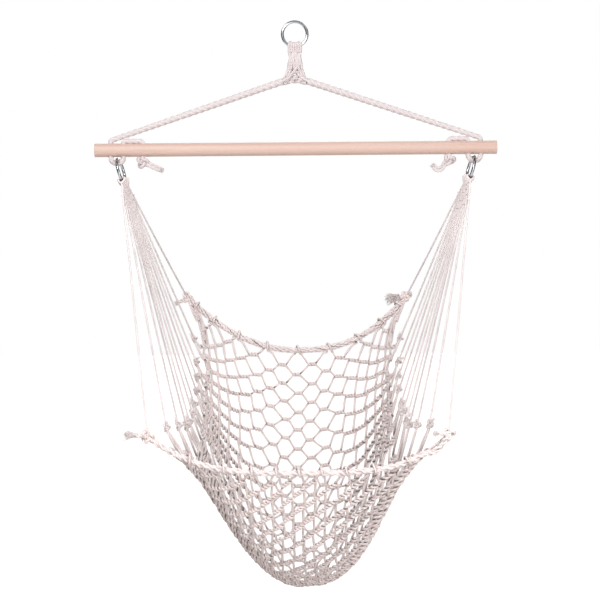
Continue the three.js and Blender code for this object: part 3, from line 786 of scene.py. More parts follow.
class SeatShape:
    """The curved surface that the net, its edge ropes and the clews' tips lie on."""

    def __init__(self, sizes: SeatSizes) -> None:
        """Lays out the middle line and the selvage.

        Args:
            sizes: The seat's corners, edges and counts.
        """
        self.sizes = sizes
        bar = SIZES.bar_height
        back = np.array((sizes.back_width / 2, sizes.back_depth, bar - sizes.back_drop))
        front = np.array((sizes.front_width / 2, -sizes.front_depth, bar - sizes.front_drop))
        back_middle = np.array((0.0, sizes.back_depth - sizes.back_lean, back[2] - sizes.back_sag))
        front_middle = np.array((0.0, sizes.front_lean - sizes.front_depth, front[2] - sizes.front_sag))
        bottom = np.array((0.0, -sizes.bottom_depth, sizes.lowest))
        self.middle = SmoothLine([
            back_middle, *(self.between(back_middle, bottom, *pair) for pair in sizes.back_panel),
            bottom, *(self.between(bottom, front_middle, *pair) for pair in sizes.front_panel),
            front_middle,
        ])
        low = np.array((front[0], front[1], back[2] - sizes.selvage_drop))
        edge = [back]
        for forward, drop, flare in sizes.edge_marks:
            corner = back if forward < 0.5 else front
            place = self.between(back, low, forward, drop)
            place[0] = mixed(sizes.waist_width / 2, corner[0], flare)
            edge.append(place)
        self.edge = SmoothLine([*edge, front])

    @staticmethod
    def between(start: np.ndarray, stop: np.ndarray, forward: float, rise: float) -> np.ndarray:
        """Returns a place in the middle plane at shares of the way forward and down."""
        return np.array((0.0, mixed(start[1], stop[1], forward), mixed(start[2], stop[2], rise)))

    def point(self, across: float, along: float) -> np.ndarray:
        """Finds a place on the surface.

        Args:
            across: From -1 at the left selvage to 1 at the right one.
            along: From 0 at the back edge to 1 at the front edge.

        Returns:
            The place.
        """
        middle = self.middle.at_length(along)[0]
        edge = self.edge.at_length(value_at(self.sizes.selvage_shares, along))[0]
        rise = abs(across) ** value_at(self.sizes.section_powers[int(across >= 0.0)], along)
        return np.array((edge[0] * across, mixed(middle[1], edge[1], rise), mixed(middle[2], edge[2], rise)))

    def slopes(self, across: float, along: float, step: float = 0.004) -> tuple[np.ndarray, np.ndarray]:
        """Measures how the surface runs at a place.

        Args:
            across: How far across the place is, from -1 to 1.
            along: How far along it is, from 0 to 1.
            step: How far to each side of it the surface is read.

        Returns:
            The forward slope, and the sideways direction.
        """
        before, after = max(along - step, 0.0), min(along + step, 1.0)
        forward = (self.point(across, after) - self.point(across, before)) / (after - before)
        sideways = unit(self.point(across + step, along) - self.point(across - step, along))
        return forward, sideways

    def rope_share(self, across: float, along: float, offset: float) -> float:
        """Returns the share of the way along that keeps the net off an edge rope."""
        forward, sideways = self.slopes(across, along)
        return offset / np.linalg.norm(np.cross(forward, sideways))

    def net_place(self, column: float, row: float) -> tuple[float, float]:
        """Finds where a knot of the hanging net lies on the surface.

        Args:
            column: The column, which may be a fraction.
            row: The row, counted from the back edge, which may be a fraction.

        Returns:
            How far across it is, from -1 to 1, and how far along, from 0 to 1.
        """
        sizes = self.sizes
        even = sizes.even(column)
        pull = abs(even) ** sizes.gather_power
        row = min(max(row, 0.0), float(sizes.rows))
        later = next(number for number, tip in enumerate(sizes.tips[1:], 1) if tip >= row)
        span = sizes.tips[later] - sizes.tips[later - 1]
        drawn = (row - sizes.tips[later - 1]) / span
        shift = sizes.gather * span * math.sin(math.tau * drawn) / math.tau
        retreat = sizes.scallop * span * (1.0 - (2.0 * drawn - 1.0) ** 2)
        level = row - pull * shift
        bunching = value_at(sizes.bunching, level / sizes.rows)
        across = even * (1.0 + bunching * (1.0 - even * even)) * (1.0 - pull * retreat)
        edge_way = value_at(tuple(zip(sizes.tips, sizes.tip_ways)), level)
        rise = abs(across) ** value_at(sizes.side_powers[int(across >= 0.0)], level / sizes.rows)
        way = mixed(level / sizes.rows, edge_way, rise)
        cord = sizes.cord / 2.0 + SIZES.touch
        first = self.rope_share(across, 0.0, sizes.back_rope / 2.0 + cord)
        last = 1.0 - self.rope_share(across, 1.0, sizes.front_rope / 2.0 + cord)
        return across, mixed(first, last, way)


SHAPE = SeatShape(SeatSizes())


# Steel rings


def select_none() -> None:
    """Leaves nothing selected, because an operator acts on all that is selected."""
    if bpy.context.mode != "OBJECT":
        bpy.ops.object.mode_set(mode="OBJECT")
    bpy.ops.object.select_all(action="DESELECT")


def settle(piece: bpy.types.Object, name: str, dress: Finish) -> None:
    """Names and dresses a modelled piece, and puts its place into its mesh.

    Args:
        piece: The object that the operators made.
        name: Its name.
        dress: Its finish.
    """
    select_none()
    piece.select_set(True)
    bpy.context.view_layer.objects.active = piece
    bpy.ops.object.transform_apply(location=True, rotation=True, scale=True)
    piece.name = name
    piece.data.name = name
    piece.data.materials.clear()
    piece.data.materials.append(dress.material())
    LOG.info("%s: %d faces", name, len(piece.data.polygons))


def rotation_to(axis: np.ndarray) -> Quaternion:
    """Returns the turn that takes +z to an axis."""
    return Vector((0.0, 0.0, 1.0)).rotation_difference(Vector(axis.tolist()))


def give_turn(thing: bpy.types.Object, turn: Quaternion) -> None:
    """Turns an object."""
    thing.rotation_mode = "QUATERNION"
    thing.rotation_quaternion = turn


@dataclass
class SteelRing:
    """A welded ring of round wire, with the angles and the shares of its weld's bead."""

    name: str
    centre: np.ndarray
    axis: np.ndarray
    body: Body
    node: str
    weld_angle: float
    weld_rise: float = 0.00014
    bead: tuple = ((-0.066, 0.45), (-0.0264, 1.0), (0.0264, 1.0), (0.066, 0.45))
    bead_reach: float = 0.026

    def build(self) -> None:
        """Models the ring from a torus and raises the bead of its weld."""
        select_none()
        bpy.ops.mesh.primitive_torus_add(
            major_segments=128, minor_segments=28,
            major_radius=SIZES.ring_radius, minor_radius=SIZES.wire_radius,
        )
        ring = bpy.context.object
        bpy.ops.object.mode_set(mode="EDIT")
        for offset, share in self.bead:
            bpy.ops.mesh.select_all(action="DESELECT")
            bpy.ops.object.mode_set(mode="OBJECT")
            for vertex in ring.data.vertices:
                angle = math.atan2(vertex.co.y, vertex.co.x) - self.weld_angle - offset
                vertex.select = abs(math.remainder(angle, math.tau)) < self.bead_reach
            bpy.ops.object.mode_set(mode="EDIT")
            bpy.ops.transform.shrink_fatten(value=self.weld_rise * share)
        bpy.ops.object.mode_set(mode="OBJECT")
        give_turn(ring, rotation_to(self.axis))
        ring.location = self.centre.tolist()
        settle(ring, self.name, STEEL)
        ring.data.shade_smooth()
        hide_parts(self.node)
        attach(ring, self.body.value)


@dataclass(frozen=True)
class SideRingFrame:
    """The place and the directions of one side ring."""

    side: Side

    @property
    def down(self) -> np.ndarray:
        """The direction in which the clews pull."""
        lean = SIZES.ring_lean
        return np.array((-self.side.value * math.sin(lean), 0.0, -math.cos(lean)))

    @property
    def axis(self) -> np.ndarray:
        """The ring's axis, out of its plane."""
        flat = np.cross(BACK, self.down) * self.side.value
        angle = -self.side.value * SIZES.ring_turn
        return around(flat, np.cross(self.down, flat), angle)

    @property
    def back(self) -> np.ndarray:
        """The direction to the back in the ring's plane."""
        return np.cross(self.down, self.axis) * self.side.value

    @property
    def centre(self) -> np.ndarray:
        """The ring's centre."""
        top = np.array((self.side.value * SIZES.loop_place, 0.0, SIZES.loop_top))
        reach = SIZES.loop_radius - SIZES.bridle_width / 2 - SIZES.loop_gap - SIZES.wire_radius
        return top + self.down * (reach + SIZES.ring_radius)


# Frayed ends and knots


@dataclass(frozen=True)
class Fray:
    """How the loose yarns of a cut end spread, curl and droop.

    Each of a yarn's bends holds its shares of the yarn's reach, spread, curl and droop.
    """

    fill: float = 0.36
    root: float = 0.004
    spread: tuple = (0.10, 0.34)
    lean: float = 0.08
    reach: tuple = (0.62, 1.0)
    curl: float = 0.10
    bends: tuple = ((0.3, 0.25, 0.0, 0.0), (0.65, 0.75, 1.0, 0.02), (1.0, 1.2, -1.0, 0.08))
    yarn: tuple = (0.0011, 0.0018)
    tip: float = 0.45
    # Tints above the cotton's range give the lightest colour: painted light that lifts the thin yarns out of
    # their own shade.
    tint: tuple = (1.0, 1.6)

    def add(self, mesh: CordMesh, root: np.ndarray, aim: np.ndarray, *, width: float, length: float,
            count: int, seed: int) -> None:
        """Adds the loose yarns of a cut end.

        Args:
            mesh: The piece that they belong to.
            root: Where they leave the rope.
            aim: The way that they point.
            width: The rope's width there.
            length: How long the longest is.
            count: How many there are.
            seed: What the random draws start from.
        """
        draw = random.Random(seed)
        aim = unit(np.asarray(aim, dtype=float))
        first = unit(np.cross(aim, beside(aim, UP, RIGHT)))
        second = np.cross(aim, first)
        for _ in range(count):
            angle, share = draw.uniform(0.0, math.tau), math.sqrt(draw.random())
            outward = around(first, second, angle)
            start = root + outward * (share * width * self.fill) - aim * self.root
            spread = outward * (share * draw.uniform(*self.spread))
            spread = spread + first * draw.uniform(-self.lean, self.lean)
            reach = length * draw.uniform(*self.reach)
            curl = (first * draw.uniform(-1.0, 1.0) + second * draw.uniform(-1.0, 1.0)) * reach * self.curl
            places = [start]
            for way, out, bow, sag in self.bends:
                places.append(start + aim * (self.root + reach * way) + spread * reach * out
                              + curl * bow - UP * reach * sag)
            route = SmoothLine(places, 40).at_length(np.linspace(0.0, 1.0, 9))
            lay = Lay(draw.uniform(*self.yarn), 1, 0.02, 5, 0.002)
            mesh.add(route, lay, draw.uniform(*self.tint), np.linspace(1.0, self.tip, len(route)))


FRAY = Fray()


def add_knot(mesh: CordMesh, centre: np.ndarray, along: np.ndarray, size: tuple[float, float],
             lay: Lay, tint: float) -> None:
    """Adds a knot, whose turns cross as a trefoil's do.

    Args:
        mesh: The piece that it belongs to.
        centre: The knot's middle.
        along: The direction of the rope through it.
        size: Its length along the rope and its width across it.
        lay: How its cord is laid.
        tint: Where its colour lies between the darker and the lighter cotton.
    """
    length, width = size
    along = unit(np.asarray(along, dtype=float))
    first = unit(np.cross(along, beside(along, BACK, UP)))
    second = np.cross(along, first)
    turns = np.linspace(0.0, math.tau, 97)
    x = (np.sin(turns) + 2.0 * np.sin(2.0 * turns)) / 3.0
    y = (np.cos(turns) - 2.0 * np.cos(2.0 * turns)) / 3.0
    z = -np.sin(3.0 * turns)
    places = (centre + along * (x * length / 2.0)[:, None] + first * (y * width / 2.0)[:, None]
              + second * (z * width * KNOT_DEPTH_SHARE)[:, None])
    mesh.add(SmoothLine(places, 400).spaced(lay.spacing), lay, tint)


# Bridle ropes


TAIL_BENDS = {
    Side.LEFT: ((0.0, 0.0), (0.014, -0.005), (0.028, -0.0115), (0.040, -0.0165)),
    Side.RIGHT: ((0.0, 0.0), (-0.011, -0.011), (-0.019, -0.0205), (-0.028, -0.0205), (-0.034, -0.0145)),
}


@dataclass
class BridleRope:
    """One bridle rope: neck to bar, round the side ring, along the bar and into its stopper."""

    side: Side
    lay: Lay = Lay(0.0125, 3, 0.044, 7, 0.0016, 0.84)
    knot_lay: Lay = Lay(0.0088, 3, 0.030, 5, 0.0016, 0.84)
    tail_lay: Lay = Lay(0.0062, 2, 0.024, 5, 0.0012, 0.84)
    drop: float = 0.0042
    swells: tuple = ((0.0, 1.36), (0.04, 1.28), (0.20, 1.20), (0.33, 1.06), (0.40, 1.0))
    end_drop: float = 0.012
    knot_drop: float = 0.0125
    knot_size: tuple = (0.025, 0.023)
    knot_aim: tuple = (-1.0, -0.05, -0.5)
    tail_gap: float = 0.0037
    tail_tuck: float = 0.002

    def route(self) -> np.ndarray:
        """Lays out the rope's middle line from the neck to its stopper knot.

        Returns:
            The places of the line, evenly spaced.
        """
        sizes, bend = SIZES, SIZES.bend_radius
        bar_top = sizes.bar_height + sizes.bar_radius
        run = bar_top + sizes.bridle_width / 2 - sizes.bridle_press
        outer = sizes.loop_place + sizes.loop_radius
        start = np.array((sizes.neck_spread, 0.0, sizes.neck_split - self.drop))
        over = np.array((outer - bend, 0.0, bar_top + sizes.bridle_lift))
        to_bend = over - start
        slant = math.asin(bend / np.linalg.norm(to_bend))
        heading = math.atan2(to_bend[2], to_bend[0]) + slant
        places = [start]
        places += arc(over, bend, heading + math.pi / 2, 0.0, 8)
        places += arc((sizes.loop_place, 0.0, sizes.loop_top), sizes.loop_radius, 0.0, -math.pi, 18)
        places += arc((outer - 2 * sizes.loop_radius - bend, 0.0, run - bend), bend, 0.0, math.pi / 2, 8)
        places += arc((sizes.stopper_place + bend, 0.0, run - bend), bend, math.pi / 2, math.pi, 8)
        low = sizes.bar_height - sizes.bar_radius - self.end_drop
        places.append(np.array((sizes.stopper_place, 0.0, low)))
        route = densified(np.array(places), self.lay.spacing)
        route[:, 0] *= self.side.value
        return route

    def add_tail(self, mesh: CordMesh, knot: np.ndarray) -> None:
        """Adds the loose strands of the tail that leave the stopper knot.

        Args:
            mesh: The rope's piece.
            knot: The knot's middle.
        """
        middle = np.array([knot + np.array((x, 0.0, z)) for x, z in TAIL_BENDS[self.side]])
        across = np.cross(np.gradient(middle, axis=0), BACK)
        across /= np.linalg.norm(across, axis=1)[:, None]
        for number in (-1, 0, 1):
            places = middle + across * (number * self.tail_gap) - BACK * (self.tail_tuck * (number % 2))
            route = SmoothLine(places, 120).spaced(self.tail_lay.spacing)
            mesh.add(route, self.tail_lay, 0.5 + 0.15 * number)
            FRAY.add(mesh, route[-1], route[-1] - route[-3],
                     width=0.006, length=0.008, count=12, seed=11 + number)

    def build(self) -> None:
        """Builds the laid rope, its stopper knot and the frayed end."""
        mesh = CordMesh(f"laid_bridle_rope_{self.side.word}")
        route = self.route()
        mesh.add(route, self.lay, 0.55, np.interp(lengths_along(route), *zip(*self.swells)))
        sign = self.side.value
        height = SIZES.bar_height - SIZES.bar_radius - self.knot_drop
        knot = np.array((sign * SIZES.stopper_place, 0.0, height))
        add_knot(mesh, knot, np.array(self.knot_aim) * (sign, 1.0, 1.0), self.knot_size, self.knot_lay, 0.5)
        self.add_tail(mesh, knot)
        rope = mesh.finish(SHADED_COTTON)
        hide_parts(f"bridle_rope_{self.side.word}")
        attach(rope, Body.YOKE.value)


# Neck


@dataclass
class NeckPlait:
    """Six strands over the ring's wire, a plait below them, and the fork to the two ropes."""

    strands: int = 6
    lay: Lay = Lay(0.0068, 2, 0.055, 6, 0.0013, 0.88)
    weft: Lay = Lay(0.0040, 2, 0.020, 5, 0.0011, 0.88)
    gap: float = 0.0002
    slack: float = 0.0014
    tuck: float = 0.002
    spreads: tuple = ((0.0, 0.90), (0.22, 0.79), (0.4, 0.93), (0.66, 1.04), (0.84, 1.28), (1.0, 1.45))
    depth: float = 0.0031
    sway: float = 0.0006
    waver: float = 0.0008
    join: float = -0.096
    fork_place: float = 0.0130
    fork_step: float = 0.0035
    fork_crossing: float = 0.0022
    fork_way: tuple = (1.0, 0.0, -0.364)
    fork_ends: tuple = ((-0.0018, 0.0042), (0.006, 0.0036), (0.0168, 0.0030))
    passes: int = 4
    first_pass: float = -0.104
    weft_depth: float = 0.0034
    weft_slip: float = 0.00018
    cradles: tuple = ((-0.0050, 0.024), (0.0002, 0.021), (0.0050, 0.017))
    cradle_bow: float = 9.0
    cradle_weave: float = 0.0035

    def top_place(self, index: int) -> float:
        """Returns how far from the middle a strand hangs at the ring."""
        return (index - (self.strands - 1) / 2) * SIZES.neck_strand

    def tint(self, index: int) -> float:
        """Returns a strand's place between the darker and the lighter cotton."""
        return 0.35 + 0.1 * (index % 3)

    def loop_route(self, index: int) -> np.ndarray:
        """Lays out one strand over the wire, with both its legs down to the plait.

        Args:
            index: The strand, from the left.

        Returns:
            The strand's places.
        """
        along = self.top_place(index)
        outward = around(-UP, RIGHT, along / SIZES.ring_radius)
        wire = SIZES.hook_ring_centre + outward * SIZES.ring_radius
        reach = SIZES.wire_radius + self.lay.diameter / 2 + self.gap
        over = turns_over(wire, outward, BACK, reach, self.slack, np.linspace(math.pi, 0.0, 13))
        legs = []
        for side in (-1.0, 1.0):
            legs.append([np.array((mixed(wire[0], along * self.spreads[0][1], eased(share)),
                                   side * mixed(reach, self.depth, eased(share)),
                                   mixed(wire[2], SIZES.neck_top, share) - self.tuck))
                         for share in (0.3, 0.65, 1.0)])
        places = [*reversed(legs[0]), *over, *legs[1]]
        return SmoothLine(places, 300).spaced(self.lay.spacing)

    def strand_place(self, index: int, layer: int, height: float) -> np.ndarray:
        """Finds where a strand of the plait lies at a height.

        Args:
            index: The strand, from the left.
            layer: -1 in front and 1 behind.
            height: The height above the hook's seat.

        Returns:
            The place.
        """
        share = (SIZES.neck_top - height) / (SIZES.neck_top - SIZES.neck_split)
        spread = self.top_place(index) * value_at(self.spreads, max(share, 0.0))
        side, inner = self.branch(index)
        fork = side * (self.fork_place + self.fork_step * (2 - inner))
        sway = self.sway * math.sin(7.0 * share + index * 2.1 + layer)
        x = mixed(spread, fork, eased((share - 0.55) / 0.45)) + sway
        y = layer * self.depth + self.waver * math.sin(9.0 * share + index * 1.7)
        if inner == 2:
            y += side * self.fork_crossing * math.sin(math.pi * eased((share - 0.45) / 0.5))
        return np.array((x, y, height))

    def branch(self, index: int) -> tuple[float, int]:
        """Tells which side a strand forks to. The two middle strands cross over.

        Args:
            index: The strand, from the left.

        Returns:
            -1 for the left and 1 for the right, and the strand's rank from the outside.
        """
        left = index in (0, 1, self.strands // 2)
        rank = min(index, self.strands - 1 - index)
        return (-1.0 if left else 1.0), rank

    def upper_route(self, index: int, layer: int) -> np.ndarray:
        """Lays out an upper strand from the eye into the plait.

        Args:
            index: The strand, from the left.
            layer: -1 in front and 1 behind.

        Returns:
            The strand's places.
        """
        heights = np.linspace(SIZES.neck_top + 0.001, self.join, 12)
        places = [self.strand_place(index, layer, height) for height in heights]
        return SmoothLine(places, 120).spaced(self.lay.spacing)

    def fork_route(self, index: int, layer: int) -> np.ndarray:
        """Lays out a lower strand from the plait into its bridle rope.

        Args:
            index: The strand, from the left.
            layer: -1 in front and 1 behind.

        Returns:
            The strand's places.
        """
        heights = np.linspace(self.join + 0.001, SIZES.neck_split + 0.007, 10)
        places = [self.strand_place(index, layer, height) for height in heights]
        side, inner = self.branch(index)
        angle = math.tau * inner / 3.0 + (0.5 if layer < 0 else 2.6)
        start = np.array((side * SIZES.neck_spread, 0.0, SIZES.neck_split - BridleRope.drop))
        heading = unit(np.array(self.fork_way)) * (side, 1.0, 1.0)
        out = np.array((-heading[2] * side, 0.0, heading[0] * side))
        for step, reach in self.fork_ends:
            places.append(start + heading * step + around(out, BACK, angle) * reach)
        return SmoothLine(places, 200).spaced(self.lay.spacing)

    def weft_route(self, number: int, height: float) -> np.ndarray:
        """Lays out a tie that is woven through the strands.

        Args:
            number: How many ties lie above it.
            height: Its height.

        Returns:
            The tie's places.
        """
        count = 2 * self.strands
        places = []
        for turn in range(count + 1):
            index = min(turn / 2, self.strands - 1)
            left = self.strand_place(int(index), 0, height)
            right = self.strand_place(min(int(index) + 1, self.strands - 1), 0, height)
            place = mixed(left, right, index - int(index))
            place[0] += (turn - count / 2) * self.weft_slip
            place[1] = (1 if (turn + number) % 2 else -1) * (self.depth + self.weft_depth)
            place[2] += self.sway * math.sin(turn * 1.3)
            places.append(place)
        return SmoothLine(places, 200).spaced(self.weft.spacing)

    def cradle_route(self, rise: float, reach: float) -> np.ndarray:
        """Lays out a strand in the fork, from one side to the other.

        Args:
            rise: How far it lies above the split.
            reach: How far it goes to each side.

        Returns:
            The strand's places.
        """
        places = [np.array((x, self.cradle_weave * math.sin(x * 400.0 + rise * 900.0),
                            SIZES.neck_split + rise - self.cradle_bow * x * x))
                  for x in np.linspace(-reach, reach, 13)]
        return SmoothLine(places, 120).spaced(self.lay.spacing)

    def add_strands(self, mesh: CordMesh, route: Callable[[int, int], np.ndarray]) -> None:
        """Adds the front and the back strand at each place across the neck.

        Args:
            mesh: The piece that they belong to.
            route: What lays out a strand from its number and its layer.
        """
        for index in range(self.strands):
            for layer in (-1, 1):
                mesh.add(route(index, layer), self.lay, self.tint(index))

    def build_loops(self) -> None:
        """Builds the loops round the wire, which ride on the neck's eye."""
        mesh = CordMesh("neck_loops")
        for index in range(self.strands):
            mesh.add(self.loop_route(index), self.lay, self.tint(index))
        loops = mesh.finish(SHADED_COTTON)
        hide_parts("neck_eye")
        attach(loops, Body.NECK.value)

    def build_upper(self) -> None:
        """Builds the straight upper strands between the eye and the plait."""
        mesh = CordMesh("neck_strands")
        self.add_strands(mesh, self.upper_route)
        upper = mesh.finish(SHADED_COTTON)
        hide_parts("neck_plait")
        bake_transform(upper)

    def build_lower(self) -> None:
        """Builds the plaited fork between the plait and the ropes."""
        mesh = CordMesh("neck_fork")
        self.add_strands(mesh, self.fork_route)
        for number, height in enumerate(np.linspace(self.first_pass, SIZES.neck_split + 0.001, self.passes)):
            mesh.add(self.weft_route(number, height), self.weft, 0.6)
        for rise, reach in self.cradles:
            mesh.add(self.cradle_route(rise, reach), self.lay, 0.5)
        fork = mesh.finish(SHADED_COTTON)
        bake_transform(fork)

    def build(self) -> None:
        """Builds the three pieces of the neck."""
        self.build_loops()
        self.build_upper()
        self.build_lower()


# Spreader bar


@dataclass
class SpreaderBar:
    """The turned beech bar with its six cross holes."""

    mouth: float = 0.0013
    edge_angle: float = math.radians(40.0)
    smooth_angle: float = math.radians(35.0)

    def build(self) -> None:
        """Models the bar from a cylinder, bores it and eases its edges."""
        select_none()
        bpy.ops.mesh.primitive_cylinder_add(
            vertices=96, radius=SIZES.bar_radius, depth=SIZES.bar_length,
            location=(0.0, 0.0, SIZES.bar_height), rotation=(0.0, math.pi / 2, 0.0),
        )
        bar = bpy.context.object
        outer = SIZES.loop_place + SIZES.loop_radius
        inner = SIZES.loop_place - SIZES.loop_radius
        for place in (outer, inner, SIZES.stopper_place):
            for sign in (-1.0, 1.0):
                self.bore(bar, sign * place)
        bpy.context.view_layer.objects.active = bar
        ease = bar.modifiers.new("ease", "BEVEL")
        ease.width = self.mouth
        ease.segments = 3
        ease.limit_method = "ANGLE"
        ease.angle_limit = self.edge_angle
        bpy.ops.object.modifier_apply(modifier=ease.name)
        settle(bar, "beech_bar", BEECH)
        bpy.ops.object.shade_smooth_by_angle(angle=self.smooth_angle)
        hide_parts("spreader_bar")
        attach(bar, Body.YOKE.value)

    def bore(self, bar: bpy.types.Object, place: float) -> None:
        """Cuts one cross hole through the bar.

        Args:
            bar: The bar.
            place: The hole's x.
        """
        select_none()
        bpy.ops.mesh.primitive_cylinder_add(
            vertices=40, radius=SIZES.hole_radius, depth=4.0 * SIZES.bar_radius,
            location=(place, 0.0, SIZES.bar_height),
        )
        drill = bpy.context.object
        select_none()
        bpy.context.view_layer.objects.active = bar
        cut = bar.modifiers.new("bore", "BOOLEAN")
        cut.operation = "DIFFERENCE"
        cut.object = drill
        cut.solver = "EXACT"
        bpy.ops.object.modifier_apply(modifier=cut.name)
        bpy.data.objects.remove(drill)


# Clews


@dataclass
class ClewFan:
    """The clews of one side: their bights on the ring, the woven head, and the long cords."""

    side: Side
    count: int = 12
    lay: Lay = Lay(0.0046, 3, 0.0300, 3, 0.0022, 0.84)
    bight: Lay = Lay(0.0046, 3, 0.0240, 4, 0.0011, 0.84)
    weft: Lay = Lay(0.0026, 2, 0.0100, 4, 0.0012, 0.8)
    knot: Lay = Lay(0.0052, 2, 0.014, 4, 0.0015)
    slack: float = 0.0018
    wrap: float = 0.35
    pinch: float = 0.0012
    # How much lighter each clew is near the head, and over how far that fades: painted light on the shaded
    # fan.
    glow: float = 0.9
    painted_light_reach: float = 0.13
    straight: float = 0.006
    weave: float = 0.0034
    weft_reaches: tuple = (0.012, 0.030, 0.050)
    tuck: float = 0.0015
    bight_end: float = 0.001
    knee_share: float = 0.55
    sag: float = 0.002
    sag_shares: tuple = ((0.04, 0.0), (0.3, 0.7), (0.6, 1.0), (0.85, 0.5), (1.0, 0.0))
    knot_lengths: tuple = (0.016, 0.024)
    knot_widths: tuple = (0.0115, 0.0150)
    knot_share: float = 0.42
    tail_share: float = 0.3
    tail_lengths: tuple = (0.012, 0.020)

    def __post_init__(self) -> None:
        """Works out the ring's frame and how far down the bights reach."""
        self.ring = SideRingFrame(self.side)
        self.loop_radius = (SIZES.clew_bore + SIZES.clew_width) / 2
        flat = math.cos(math.pi / 8.0)
        self.reach = (SIZES.ring_radius + SIZES.clew_bore / 2 - SIZES.wire_radius - SIZES.clew_slide
                      - self.loop_radius * (1.0 - flat))
        self.head_reach = (self.loop_radius + SIZES.clew_width / 2) * flat + SIZES.touch

    def outward(self, index: int) -> np.ndarray:
        """Returns the direction from the ring's centre to a clew's bight."""
        angle = SIZES.clew_fan * (0.5 - index / (self.count - 1))
        return around(self.ring.down, self.ring.back, angle)

    def foot(self, index: int) -> np.ndarray:
        """Finds the end of a clew at the seat.

        Args:
            index: The clew, from the back.

        Returns:
            The place.
        """
        sizes = SHAPE.sizes
        row = sizes.tips[index]
        if row in (0, sizes.rows):
            return SHAPE.point(self.side.value, row / sizes.rows)
        column = 0 if self.side is Side.LEFT else sizes.columns
        return SHAPE.point(*SHAPE.net_place(column, row))

    def below(self, index: int, drop: float) -> np.ndarray:
        """Returns a place on a clew at a distance below its bight's ends."""
        return self.ring.centre + self.outward(index) * (self.reach + self.head_reach + drop)

    def bend(self, index: int) -> np.ndarray:
        """Returns the place under the bight where a clew turns towards its foot."""
        return self.below(index, self.straight)

    def place_at(self, index: float, reach: float) -> np.ndarray:
        """Finds a place on a clew, or between two clews.

        Args:
            index: The clew, from the back, or a fraction between two.
            reach: How far below the clew's bend it is.

        Returns:
            The place.
        """
        low, share = int(index), index - int(index)
        ends = []
        for number in (low, min(low + 1, self.count - 1)):
            bend = self.bend(number)
            ends.append(bend + unit(self.foot(number) - bend) * reach)
        return mixed(ends[0], ends[1], share)

    def bight_route(self, index: int) -> np.ndarray:
        """Lays out a bight round the wire, with its ends drawn together below.

        Args:
            index: The clew, from the back.

        Returns:
            The bight's places.
        """
        outward = self.outward(index)
        wire = self.ring.centre + outward * SIZES.ring_radius
        reach = SIZES.wire_radius + self.bight.diameter / 2 + SIZES.loop_gap
        across = unit(self.ring.axis)
        angles = np.linspace(math.pi + self.wrap, -self.wrap, 15)
        turns = turns_over(wire, outward, across, reach, self.slack, angles)
        low = self.below(index, self.bight_end)
        places = [low - across * self.pinch, *turns, low + across * self.pinch]
        return SmoothLine(places, 300).spaced(self.bight.spacing)

    def build_head(self) -> None:
        """Builds the bights and the cords woven through the clews below them."""
        mesh = CordMesh(f"clew_head_{self.side.word}")
        # The bights and the wefts take tints at the light end: painted light on the dense head.
        for index in range(self.count):
            mesh.add(self.bight_route(index), self.bight, 0.9 + 0.1 * (index % 4))
        normal = unit(self.ring.axis)
        for number, reach in enumerate(self.weft_reaches):
            places = []
            for turn in range(2 * self.count - 1):
                sign = 1.0 if (turn // 2 + number) % 2 else -1.0
                lift = sign * self.weave if turn % 2 == 0 else 0.0
                places.append(self.place_at(turn / 2, reach) + normal * lift)
            mesh.add(SmoothLine(places, 400).spaced(self.weft.spacing), self.weft, 1.0)
        head = mesh.finish(CLEW_COTTON)
        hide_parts(f"clew_loops_{self.side.word}")
        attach(head, Body.SEAT.value)

    def cord_route(self, index: int) -> np.ndarray:
        """Lays out a clew from its bight to its foot.

        Args:
            index: The clew, from the back.

        Returns:
            The clew's places.
        """
        head, bend, foot = self.below(index, -self.tuck), self.bend(index), self.foot(index)
        hanging = [mixed(bend, foot, share) - UP * (self.sag * part) for share, part in self.sag_shares]
        places = [head, mixed(head, bend, self.knee_share), *hanging]
        return SmoothLine(places, 300).spaced(self.lay.spacing)

    def add_foot_knot(self, mesh: CordMesh, index: int) -> None:
        """Adds the knot that ties a clew to the net, with its short frayed tail.

        Args:
            mesh: The clew's piece.
            index: The clew, from the back.
        """
        draw = random.Random(17 * index + self.side.value)
        foot = self.foot(index)
        upward = unit(self.bend(index) - foot)
        length, width = draw.uniform(*self.knot_lengths), draw.uniform(*self.knot_widths)
        centre = foot + upward * (length * self.knot_share)
        add_knot(mesh, centre, upward, (length, width), self.knot, 0.4)
        aim = np.array((draw.uniform(-0.7, 0.7), draw.uniform(-0.6, 0.2), draw.uniform(-0.2, 0.9)))
        FRAY.add(mesh, centre + upward * (length * self.tail_share), aim,
                 width=0.005, length=draw.uniform(*self.tail_lengths), count=14, seed=index)

    def build(self) -> None:
        """Builds the woven head and the twelve clews."""
        self.build_head()
        for index in range(self.count):
            number = f"{self.side.word}_{index + 1:02d}"
            mesh = CordMesh(f"clew_cord_{number}")
            route = self.cord_route(index)
            # Each cord is lighter near its head: painted light.
            far = np.arange(len(route)) * self.lay.spacing / self.painted_light_reach
            tint = 0.3 + 0.1 * ((index * 5) % 4) + self.glow * np.exp(-far**2)
            mesh.add(route, self.lay, tint)
            if 0 < index < self.count - 1:
                self.add_foot_knot(mesh, index)
            cord = mesh.finish(CLEW_COTTON)
            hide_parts(f"clew_{number}")
            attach(cord, Body.SEAT.value)


# Net


class Corner(Enum):
    """A bar's four corners, by the way across and along."""

    UP_LEFT = (-1, -1)
    UP_RIGHT = (1, -1)
    DOWN_LEFT = (-1, 1)
    DOWN_RIGHT = (1, 1)


def free(place: np.ndarray) -> np.ndarray:
    """Returns a place with no cord beside it."""
    return np.concatenate((place, np.zeros(3)))


def carried(course: np.ndarray, route: np.ndarray) -> np.ndarray:
    """Carries the way to the neighbouring cord over to the places of a route.

    Args:
        course: The places that the route goes through, each with its way to the neighbour.
        route: The places of the route's rings.

    Returns:
        The way at each of the route's places.
    """
    marks = [lengths_along(line) for line in (course[:, :3], route)]
    scaled = marks[0] * (marks[1][-1] / marks[0][-1])
    return np.stack([np.interp(marks[1], scaled, course[:, axis]) for axis in (3, 4, 5)], axis=1)


